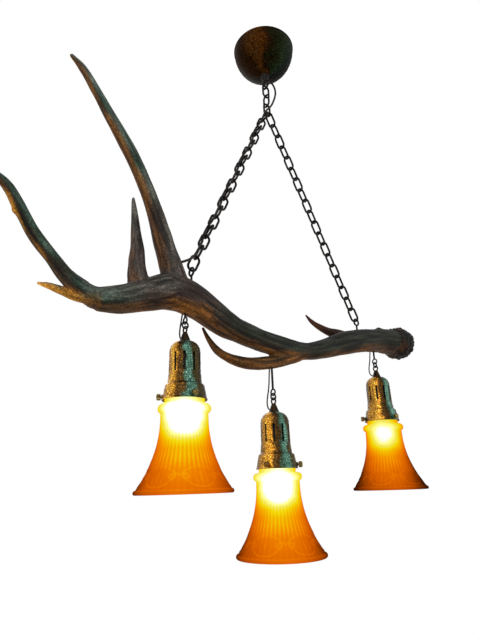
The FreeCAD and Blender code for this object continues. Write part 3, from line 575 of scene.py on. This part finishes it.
        # painted gold highlight on the low spur's faces turned to the left
        if name == "lowSpur":
            mix("paintedGoldHighlight", own * smoothStep(-0.2, 0.5, left + cloud * 0.4) * 0.55)
        if name == "burrSpur":
            mix("rust", own * 0.75)
        if name == "short":
            mix("fork", own * 0.6)
            mix("paleGreyAndSheen", own * smoothStep(-0.54, -0.47, z) * 0.5)
    # black on the burr, and darker towards the right of the beam
    mix("blackAndTopShade", np.maximum(burr * 0.9, smoothStep(0.0, 0.2, x) * 0.35))
    mix("rust", burr * smoothStep(0.55, 0.9, cloud + 0.45) * 0.35)
    colour *= (0.35 + 1.25 * np.clip(furrow + 0.5, 0, 1))[:, None]
    paint = mesh.attributes.new("stain", "FLOAT_COLOR", "POINT")
    paint.data.foreach_set("color", np.hstack([colour, np.ones((count, 1))]).astype(np.float32).ravel())
    lines = mesh.attributes.new("grain", "FLOAT_VECTOR", "POINT")
    lines.data.foreach_set("vector", grain.astype(np.float32).ravel())
    placed("antlerHorn", mesh, waxedHorn(), "antler", ["antler"])


makeAntler()
print("antler ready")

# points of a profile are radius and height in millimetres, down from the top of the husk
husk = {
    "steps": 240, "pitch": 0.0034, "depth": 0.0005, "wall": 0.0011,
    "hole": [(5.1, 0.2), (6.5, 0.2)], "top": (6.5, 0.0), "shoulder": (22.5, -16.0), "shoulderCurve": 16.5,
    "slotTop": (22.6, -20.0), "waist": (23.0, -47.0), "foot": (24.5, -63.0),
    "lip": [(25.0, -63.4), (25.1, -64.0)],
    "slots": 10, "slotHalf": 2.0,
}
skirt = {
    "steps": 240, "pitch": 0.0034, "depth": 0.00045, "wall": 0.0011,
    "top": [(17.3, -64.0), (22.0, -64.0), (25.0, -64.0)], "corner": (28.0, -66.5), "cornerCurve": 5.0,
    "foot": (31.6, -84.6), "lip": [(32.3, -85.2), (32.6, -86.0), (32.3, -86.8), (31.7, -87.0)],
    "screwDrop": 81.0, "hole": 2.0,
    # a boss's profile is radius and distance out from the lamp's axis
    "boss": [(1.85, 29.6), (3.3, 29.6), (3.5, 30.2), (3.5, 32.4), (3.1, 32.9), (1.85, 32.9), (1.85, 29.6)],
}
thumbScrew = {"shank": 1.7, "tip": 28.6, "head": 4.6, "headStart": 34.1, "headEnd": 39.6, "ridges": 24,
              "ridge": 0.45}


def hammerWall(form, pitch, depth, keepOut):
    for vert in form.verts:
        if not keepOut(vert.co):
            outward = Vector((vert.co.x, vert.co.y, 0)).normalized()
            vert.co += outward * hammered(vert.co, pitch, depth)


def toLamp(form, lamp, angle=0.0):
    place = Matrix.Translation(lamp["centre"]) @ Matrix.Rotation(math.radians(angle), 4, "Z")
    bmesh.ops.transform(form, matrix=place, verts=form.verts)


def makeHusk(side, lamp, material):
    profile = husk["hole"] + arcPoints(husk["top"], husk["shoulder"], husk["shoulderCurve"], True, 24)
    profile += linePoints(husk["shoulder"], husk["slotTop"], 4)
    profile += linePoints(husk["slotTop"], husk["waist"], 27)
    profile += linePoints(husk["waist"], husk["foot"], 16) + husk["lip"]
    form = spun(profile, husk["steps"])
    half = math.degrees(husk["slotHalf"] * 2 / (husk["slotTop"][0] + husk["waist"][0]))
    part = 360.0 / husk["slots"]

    def inSlot(spot):
        turn = math.degrees(math.atan2(spot.y, spot.x)) - 90.0
        gap = abs((turn + part / 2) % part - part / 2)
        return husk["waist"][1] < spot.z * 1000 < husk["slotTop"][1] and gap < half

    holes = [face for face in form.faces if inSlot(face.calc_center_median())]
    bmesh.ops.delete(form, geom=holes, context="FACES")
    hammerWall(form, husk["pitch"], husk["depth"], lambda spot: spot.z > -0.001 or spot.z < -0.0625)
    toLamp(form, lamp, lamp["slotAngle"])
    piece = placed(side + "Husk", bmeshToMesh(form, side + "Husk"), material, side + "_lamp",
                   [side + "_husk"])
    addWall(piece, husk["wall"])


def screwPlace(lamp, number):
    # out along local X at the height of the thumb screws
    angle = math.radians(lamp["screwAngle"] + 120.0 * number)
    height = Matrix.Translation((0, 0, -skirt["screwDrop"] / 1000))
    return (Matrix.Translation(lamp["centre"]) @ Matrix.Rotation(angle, 4, "Z") @ height
            @ Matrix.Rotation(math.radians(90), 4, "Y"))


def makeSkirt(side, lamp, material):
    top, corner = skirt["top"], skirt["corner"]
    profile = top + arcPoints(top[-1], corner, skirt["cornerCurve"], True, 6)
    profile += linePoints(corner, skirt["foot"], 20) + skirt["lip"]
    form = spun(profile, skirt["steps"])

    def atScrew(spot):
        turn = math.degrees(math.atan2(spot.y, spot.x))
        gap = math.radians(abs((turn + 60.0) % 120.0 - 60.0)) * 30.8
        return math.hypot(gap, spot.z * 1000 + skirt["screwDrop"]) < skirt["hole"]

    holes = [face for face in form.faces if atScrew(face.calc_center_median())]
    bmesh.ops.delete(form, geom=holes, context="FACES")
    hammerWall(form, skirt["pitch"], skirt["depth"],
               lambda spot: spot.xy.length < 0.0255 or spot.z < -0.0848)
    toLamp(form, lamp, lamp["screwAngle"])
    piece = placed(side + "Skirt", bmeshToMesh(form, side + "Skirt"), material, side + "_lamp",
                   [side + "_shade_fitter"])
    addWall(piece, skirt["wall"])
    # threaded bosses round the three screws
    bosses = bmesh.new()
    for number in range(3):
        ring = spun(skirt["boss"], 32)
        bmesh.ops.transform(ring, matrix=screwPlace(lamp, number), verts=ring.verts)
        part = bmeshToMesh(ring, "boss")
        bosses.from_mesh(part)
        bpy.data.meshes.remove(part)
    placed(side + "ScrewBosses", bmeshToMesh(bosses, side + "ScrewBosses"), material, side + "_lamp")


def makeThumbScrew(side, lamp, number):
    head, start, end = thumbScrew["head"], thumbScrew["headStart"], thumbScrew["headEnd"]
    shank = thumbScrew["shank"]
    profile = [(0, thumbScrew["tip"]), (shank - 0.5, thumbScrew["tip"]), (shank, thumbScrew["tip"] + 0.6),
               (shank, start), (head - 0.8, start), (head, start + 0.6), (head, end - 0.7), (head - 0.7, end),
               (head - 1.6, end), (head - 2.0, end - 0.5), (0, end - 0.5)]
    form = spun(profile, thumbScrew["ridges"] * 2)
    for vert in form.verts:
        turn = round(math.degrees(math.atan2(vert.co.y, vert.co.x)) / (180 / thumbScrew["ridges"]))
        if turn % 2 and abs(vert.co.xy.length * 1000 - head) < 0.05:
            vert.co.xy *= 1 - thumbScrew["ridge"] / head
    bmesh.ops.transform(form, matrix=screwPlace(lamp, number), verts=form.verts)
    name = f"{side}ThumbScrew{number + 1}"
    placed(name, bmeshToMesh(form, name, smooth=False), screwBrass, f"{side}_screw_{number + 1}",
           [f"{side}_thumb_screw_{number + 1}"])


shade = {
    "steps": 288, "flutes": 48, "fluteDepth": 0.7, "wall": 0.0024,
    # radius and height in millimetres, down from the top of the husk
    "top": [(27.0, -77.5), (28.2, -77.5), (28.5, -78.0)], "collar": (28.5, -93.0), "bead": (37.5, -99.0),
    "beadCurve": 6.4, "neck": (33.3, -105.0), "flare": (33.3, -111.0), "flareCurve": 160.0,
    "border": (63.4, -204.4),
    "rim": [(63.9, -205.2), (65.2, -205.6), (66.3, -206.4), (67.0, -207.6), (67.1, -208.9), (66.6, -210.2),
            (65.6, -211.0), (64.4, -211.0)],
    "height": 211.0,
    # up the glass from the rim, 0 to 1: how brightly its painted glow shines, and how much painted shade
    # darkens its sides
    "heat": [
        (0.0, 0.44), (0.16, 0.50), (0.30, 0.56), (0.42, 0.62), (0.50, 0.72), (0.56, 0.84), (0.62, 0.92),
        (0.72, 0.97), (0.80, 0.96), (0.88, 0.88), (1.0, 0.80),
    ],
    "sides": [(0.0, 0.42), (0.30, 0.40), (0.50, 0.40), (0.60, 0.44), (0.74, 0.40), (0.84, 0.26), (1.0, 0.2)],
    # painted glow colours, from dark to bright
    "glow": [
        (0.0, "#3c1400"), (0.12, "#7a3000"), (0.24, "#b84c00"), (0.36, "#e06400"), (0.46, "#f27800"),
        (0.56, "#ff9600"), (0.65, "#ffbe00"), (0.74, "#ffea10"), (0.84, "#fff98a"), (0.92, "#ffffff"),
    ],
    "cloud": 0.028571,   # size of the drifts in the glass
}
# the pressed border, in millimetres up from the rim and across from the middle of a cartouche
border = {
    "cartouches": 6, "rimLine": 6.0, "bracket": 10.5, "bracketHalf": 21.0, "bracketRise": 11.0,
    "curl": (20.0, 25.0), "curlRadius": 3.6, "arch": 39.0, "archDrop": 13.0, "fanFoot": 9.0, "fan": 20.0,
}


def borderRelief(turn, rise, radius):
    # 0 to 1: a bracket with curled ends, a fan over it, an arch and a line along the rim
    part = 360.0 / border["cartouches"]
    across = math.radians((turn + part / 2) % part - part / 2) * radius
    reach = abs(across)

    def ridge(gap, width):
        return math.exp(-(gap / width) ** 2)

    relief = ridge(rise - border["rimLine"], 0.9) * 0.7
    if reach < border["bracketHalf"]:
        lift = border["bracketRise"] * (reach / border["bracketHalf"]) ** 3
        relief = max(relief, ridge(rise - border["bracket"] - lift, 1.1))
    curl = math.hypot(reach - border["curl"][0], rise - border["curl"][1])
    relief = max(relief, ridge(curl - border["curlRadius"], 1.0), ridge(curl, 1.1))
    arch = border["arch"] - border["archDrop"] * (reach / (math.radians(part) * radius / 2)) ** 2
    relief = max(relief, ridge(rise - arch, 1.1) * 0.8)
    if 13 < rise < 30 and reach < 13:
        petal = math.degrees(math.atan2(across, rise - border["fanFoot"]))
        spread = ridge(math.hypot(across, rise - border["fan"]), 9.0)
        relief = max(relief, 0.6 * math.cos(math.radians(petal * 10)) * spread)
    return relief


def amberGlass(side, lamp):
    # pressed amber glass, etched satin outside; the frosted bulb's light through it is painted as an
    # emission glow: white by the bulb, orange away from it, and too bright to show a reflection
    material, tree, surface = newMaterial(side + "ShadeAmberGlass", {
        "Roughness": 0.4, "Specular IOR Level": 0.0})
    place = addNode(tree, "TexCoord", {})
    spot = addNode(tree, "SeparateXYZ", {}, [("Vector", place, "Object")])
    top = lamp["centre"][2]
    rise = addNode(tree, "MapRange", {"From Min": top - shade["height"] / 1000, "From Max": top - 0.077},
                   [("Value", spot, "Z")])
    heat = addNode(tree, "ValToRGB", {"stops": shade["heat"]}, [("Fac", rise, 0)])
    sides = addNode(tree, "ValToRGB", {"stops": shade["sides"]}, [("Fac", rise, 0)])
    # painted shade: the glow darkens towards the sides, where the glass is thicker to look through; flutes
    # left out
    offset = addNode(tree, "VectorMath", {"operation": "SUBTRACT", 1: lamp["centre"]},
                     [(0, place, "Object")])
    level = addNode(tree, "VectorMath", {"operation": "MULTIPLY", 1: (1, 1, 0)}, [(0, offset, 0)])
    outward = addNode(tree, "VectorTransform", {"vector_type": "NORMAL", "convert_from": "OBJECT",
                                                "convert_to": "WORLD"}, [("Vector", level, 0)])
    glance = addNode(tree, "LayerWeight", {"Blend": 0.5}, [("Normal", outward, 0)])
    turned = addNode(tree, "Math", {"operation": "MULTIPLY", 1: lamp["fade"]}, [(0, glance, "Facing")])
    depth = addNode(tree, "Math", {"operation": "MULTIPLY"}, [(0, sides, 0), (1, turned, 0)])
    # painted light: the pressed flutes and ornament show as a lighter glow, fainter up towards the bulb
    relief = addNode(tree, "Attribute", {"attribute_name": "relief"})
    calm = addNode(tree, "MapRange", {"From Min": 0.34, "From Max": 0.54, "To Min": 0.14, "To Max": 0.03},
                   [("Value", rise, 0)])
    lift = addNode(tree, "Math", {"operation": "MULTIPLY"}, [(0, relief, "Fac"), (1, calm, 0)])
    cloud = addNode(tree, "TexNoise", {"Scale": 1 / shade["cloud"], "Detail": 4.0},
                    [("Vector", place, "Object")])
    drift = addNode(tree, "MapRange", {"To Min": -0.05, "To Max": 0.05}, [("Value", cloud, "Fac")])
    smooth = addNode(tree, "Math", {"operation": "SUBTRACT"}, [(0, heat, 0), (1, depth, 0)])
    pressed = addNode(tree, "Math", {"operation": "ADD"}, [(0, smooth, 0), (1, lift, 0)])
    # each lamp's painted glow shifted by its dusk at the rim and by its glow higher up
    share = addNode(tree, "MapRange", {"From Max": 0.5, "To Min": lamp["dusk"], "To Max": lamp["glow"]},
                    [("Value", rise, 0)])
    lit = addNode(tree, "Math", {"operation": "ADD"}, [(0, pressed, 0), (1, share, 0)])
    bright = addNode(tree, "Math", {"operation": "ADD"}, [(0, lit, 0), (1, drift, 0)])
    glow = addNode(tree, "ValToRGB", {"stops": shade["glow"]}, [("Fac", bright, 0)])
    tree.links.new(glow.outputs[0], surface.inputs["Emission Color"])
    power = addNode(tree, "MapRange", {"From Min": 0.8, "From Max": 1.0, "To Min": 0.9, "To Max": 2.2},
                    [("Value", bright, 0)])
    tree.links.new(power.outputs[0], surface.inputs["Emission Strength"])
    body = addNode(tree, "ValToRGB", {"stops": [(0.3, "#120500"), (0.7, "#1c0900")]}, [("Fac", cloud, "Fac")])
    tree.links.new(body.outputs[0], surface.inputs["Base Color"])
    bump = addNode(tree, "Bump", {"Strength": 0.1, "Distance": 0.0003}, [("Height", cloud, "Fac")])
    tree.links.new(bump.outputs[0], surface.inputs["Normal"])
    return material


def makeShade(side, lamp):
    profile = shade["top"] + linePoints(shade["top"][-1], shade["collar"], 10)
    profile += arcPoints(shade["collar"], shade["bead"], shade["beadCurve"], True, 7)
    profile += arcPoints(shade["bead"], shade["neck"], shade["beadCurve"], True, 7)
    profile += linePoints(shade["neck"], shade["flare"], 5)
    profile += arcPoints(shade["flare"], shade["border"], shade["flareCurve"], False, 84) + shade["rim"]
    form = spun(profile, shade["steps"])
    form.verts.index_update()
    relief = []
    for vert in form.verts:
        turn = math.degrees(math.atan2(vert.co.y, vert.co.x))
        height = vert.co.z * 1000
        rise = shade["height"] + height
        radius = vert.co.xy.length * 1000
        flute = 0.5 + 0.5 * math.cos(math.radians(turn * shade["flutes"]))
        inBorder = float(smoothStep(40.0, 26.0, rise))
        onWall = float(smoothStep(-104.0, -112.0, height)) * float(smoothStep(3.0, 5.0, rise))
        pressed = borderRelief(turn, rise * 1.15, radius) if rise < 41 else 0.0
        value = onWall * (flute * (1 - inBorder * 0.75) * shade["fluteDepth"] + pressed * inBorder * 0.6)
        relief.append(value)
        # shallower in the narrow neck
        vert.co.xy *= 1 + value * (0.4 + 0.6 * float(smoothStep(36.0, 50.0, radius))) / radius
    toLamp(form, lamp, lamp["screwAngle"])
    mesh = bmeshToMesh(form, side + "Shade")
    mesh.attributes.new("relief", "FLOAT", "POINT").data.foreach_set("value", relief)
    piece = placed(side + "Shade", mesh, amberGlass(side, lamp), side + "_lamp",
                   [side + "_shade"])
    addWall(piece, shade["wall"])


def frostedBulb():
    # inside-frosted globe, lit warm white
    material, tree, surface = newMaterial("bulbFrostedGlass", {
        "Roughness": 0.35, "Base Color": "#f4ead2", "Emission Strength": 3.0})
    place = addNode(tree, "TexCoord", {})
    cloud = addNode(tree, "TexNoise", {"Scale": 1 / 0.02, "Detail": 2.0}, [("Vector", place, "Object")])
    glow = addNode(tree, "ValToRGB", {"stops": [(0.3, "#ffe2a0"), (0.7, "#fff3cf")]}, [("Fac", cloud, "Fac")])
    tree.links.new(glow.outputs[0], surface.inputs["Emission Color"])
    return material


bulbGlass = frostedBulb()
for side, lamp in lamps.items():
    holderBrass = hammeredBrass(side + "HammeredBrass", lamp["centre"], lamp["reflectionTurn"])
    makeHusk(side, lamp, holderBrass)
    makeSkirt(side, lamp, holderBrass)
    for number in range(3):
        makeThumbScrew(side, lamp, number)
    makeShade(side, lamp)
    repaint(side + "_socket_loop", darkBrass)
    repaint(side + "_lamp_eye", forgedIron)
    repaint(side + "_hanger_ring", forgedIron)
    repaint(side + "_socket", phenolic)
    repaint(side + "_bulb_base", capMetal)
    repaint(side + "_bulb_glass", bulbGlass)
    print(side, "lamp ready")

# routes in millimetres
supplyCord = {
    "radius": 0.002,
    "hub": [(8, 0, -72), (17, -0.5, -75), (23.5, -1.5, -84), (25.5, -2.5, -97), (24, -3, -104)],
    "links": [(24, -3, -104), (22.5, -3.5, -111), (17, -4.5, -125), (11, -5.5, -139), (7.5, -5.75, -145)],
    "join": [(7.5, -5.75, -145), (4, -6, -151), (-5, -6, -162), (-12, -5.5, -174)],
    "chainTop": (-2.2, 0, -165.6), "chainFoot": (-181, 0, -561.5),
    "crossings": 8, "firstCrossing": 37.95, "pitch": 23.9,
    "entry": [(-194.5, -8.5, -553.0), (-205.5, -6.7, -558.5)],
}
lampLead = {
    "radius": 0.00115,
    "left": [(8, -632), (11, -643), (15, -654), (16.5, -665), (13, -673.5), (6, -675.7)],
    "centre": [(5, -694), (7.5, -708), (8.5, -722), (11, -735), (15, -747), (16.5, -758), (13, -766.5),
               (6, -768.7)],
    "right": [(8, -628), (10, -641), (12, -652), (15.5, -662), (16.5, -672), (13, -680.5), (6, -682.7)],
}


def routeCurve(name, route, radius):
    curve = bpy.data.curves.new(name, "CURVE")
    curve.dimensions = "3D"
    curve.resolution_u = 12
    curve.bevel_depth = radius
    curve.bevel_resolution = 5
    curve.use_fill_caps = True
    spline = curve.splines.new("NURBS")
    spline.points.add(len(route) - 1)
    for point, spot in zip(spline.points, route):
        point.co = (spot[0] / 1000, spot[1] / 1000, spot[2] / 1000, 1)
    spline.order_u = 3
    spline.use_endpoint_u = True
    return curve


def routeMesh(name, route, radius):
    # the tube as a mesh, and the points of its line
    found = []
    for thickness in (0.0, radius):
        curve = routeCurve(name, route, thickness)
        holder = bpy.data.objects.new(name + "Route", curve)
        bpy.context.scene.collection.objects.link(holder)
        found.append(bpy.data.meshes.new_from_object(holder))
        bpy.data.objects.remove(holder)
        bpy.data.curves.remove(curve)
    line = [tuple(vert.co) for vert in found[0].vertices]
    found[1].shade_smooth()
    return found[1], line


def cordCover(name, dark, light):
    # extruded vinyl sheath with a slight haze
    material, tree, surface = newMaterial(name, {"Specular IOR Level": 0.2, "Roughness": 0.45})
    place = addNode(tree, "TexCoord", {})
    cloud = addNode(tree, "TexNoise", {"Scale": 1 / 0.004545, "Detail": 4.0}, [("Vector", place, "Object")])
    colour = addNode(tree, "ValToRGB", {"stops": [(0.35, dark), (0.7, light)]}, [("Fac", cloud, "Fac")])
    tree.links.new(colour.outputs[0], surface.inputs["Base Color"])
    bump = addNode(tree, "Bump", {"Strength": 0.2, "Distance": 0.0002}, [("Height", cloud, "Fac")])
    tree.links.new(bump.outputs[0], surface.inputs["Normal"])
    return material


def bentCord(name, route, radius, material, nodes):
    mesh, line = routeMesh(name, route, radius)
    piece = placed(name, mesh, material, None, nodes)
    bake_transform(piece)


def besideChain(along, right, front):
    # a place down the left chain, to its right and in front of it
    top, foot = Vector(supplyCord["chainTop"]), Vector(supplyCord["chainFoot"])
    down = (foot - top).normalized()
    across = Vector((-down.z, 0, down.x))
    spot = top + down * along + across * right
    return (spot.x, -front, spot.z)


def makeCords():
    sheath = cordCover("cordVinylBrown", "#120c08", "#26190f")
    radius = supplyCord["radius"]
    # past one link after another, in front of it and behind it by turns
    woven = []
    front = 4.4
    for number in range(supplyCord["crossings"]):
        middle = supplyCord["firstCrossing"] + number * 2 * supplyCord["pitch"]
        woven.append(besideChain(middle - 10.0, -4.4, front))
        woven.append(besideChain(middle, -3.1, 0.0))
        woven.append(besideChain(middle + 10.0, -4.4, -front))
        front = -front
        woven.append(besideChain(middle + supplyCord["pitch"], -4.9, front * 1.12))
    tail = [besideChain(410.0, -6.0, 6.0), besideChain(421.0, -9.0, 7.5)] + supplyCord["entry"]
    firstBreak = tuple((Vector(supplyCord["join"][-1]) + Vector(woven[0])) / 2)
    secondBreak = tuple((Vector(woven[-1]) + Vector(tail[0])) / 2)
    bentCord("supplyCordHub", supplyCord["hub"], radius, sheath, ["supply_cord_top"])
    bentCord("supplyCordLinks", supplyCord["links"], radius, sheath, ["supply_cord_top"])
    bentCord("supplyCordJoin", supplyCord["join"] + [firstBreak], radius, sheath,
             ["supply_cord_top"])
    route = [firstBreak] + woven + [secondBreak]
    line = routeMesh("supplyCordWeave", route, radius)[1]
    piece = placed("supplyCordWeave", routeCurve("supplyCordWeave", route, radius), sheath, "chains",
                   ["supply_cord_chain"])
    bentCord("supplyCordTail", [secondBreak] + tail, radius, sheath, ["supply_cord_tail"])
    leadCover = cordCover("leadVinylBlack", "#0e0c0b", "#2b221b")
    for side, lamp in lamps.items():
        route = [(lamp["centre"][0] * 1000, y, z) for y, z in lampLead[side]]
        bentCord(side + "LampLead", route, lampLead["radius"], leadCover, [side + "_lamp_lead"])


makeCords()
print("cords ready")

studio = {
    "floor": -1.32, "floorSize": 14.0, "skyLight": 0.55,
    "lights": [("key", (-1.5, -1.3, 0.35), 1.6, 15.0), ("fill", (1.5, -1.5, -0.6), 1.8, 6.0),
               ("back", (0.6, 1.8, 0.2), 1.6, 7.0)],
    "target": (-0.05, 0.0, -0.55),
}
view = {"place": (-0.5395, -0.5898, -0.883), "turn": -37.5, "pitch": 19.0, "roll": -1.85, "lens": 27.17}


def seenDirectly(tree):
    # 1 where the camera, a reflection or glass shows the background
    path = addNode(tree, "LightPath", {})
    direct = addNode(tree, "Math", {"operation": "MAXIMUM"},
                     [(0, path, "Is Camera Ray"), (1, path, "Is Glossy Ray")])
    return addNode(tree, "Math", {"operation": "MAXIMUM"}, [(0, direct, 0), (1, path, "Is Transmission Ray")])


def makeStudio():
    bpy.ops.mesh.primitive_plane_add(size=studio["floorSize"], location=(0, 0, studio["floor"]))
    floor = bpy.context.object
    floor.name = "studioFloor"
    material, tree, surface = newMaterial("floorPaper", {"Base Color": "#eeeeee", "Roughness": 0.9})
    # a tenth of the paper's own shade is left, for the object's shadow
    share = addNode(tree, "Math", {"operation": "MULTIPLY", 1: 0.9}, [(0, seenDirectly(tree), 0)])
    white = addNode(tree, "Emission", {"Color": "#ffffff", "Strength": 1.05})
    both = addNode(tree, "MixShader", {}, [("Fac", share, 0), (1, surface, 0), (2, white, 0)])
    tree.links.new(both.outputs[0], tree.nodes["Material Output"].inputs["Surface"])
    floor.data.materials.append(material)
    world = bpy.data.worlds.new("studio")
    bpy.context.scene.world = world
    world.use_nodes = True
    tree = world.node_tree
    level = addNode(tree, "MapRange", {"To Min": studio["skyLight"], "To Max": 1.0},
                    [("Value", seenDirectly(tree), 0)])
    background = tree.nodes["Background"]
    background.inputs["Color"].default_value = (1, 1, 1, 1)
    tree.links.new(level.outputs[0], background.inputs["Strength"])
    for name, place, size, power in studio["lights"]:
        softLight = bpy.data.lights.new(name, "AREA")
        softLight.shape = "DISK"
        softLight.size = size
        softLight.energy = power
        holder = bpy.data.objects.new(name, softLight)
        bpy.context.scene.collection.objects.link(holder)
        holder.location = place
        aim = Vector(studio["target"]) - Vector(place)
        holder.rotation_euler = aim.to_track_quat("-Z", "Y").to_euler()


def makeCamera():
    camera = bpy.data.objects.new("camera", bpy.data.cameras.new("camera"))
    bpy.context.scene.collection.objects.link(camera)
    camera.data.lens = view["lens"]
    camera.data.sensor_fit = "VERTICAL"
    camera.data.sensor_height = 36.0
    camera.data.clip_start = 0.01
    camera.matrix_world = (Matrix.Translation(view["place"])
                           @ Matrix.Rotation(math.radians(view["turn"]), 4, "Z")
                           @ Matrix.Rotation(math.radians(90 + view["pitch"]), 4, "X")
                           @ Matrix.Rotation(math.radians(view["roll"]), 4, "Z"))
    bpy.context.scene.camera = camera


makeStudio()
makeCamera()
bpy.context.scene.view_settings.view_transform = "Standard"
print("studio ready")
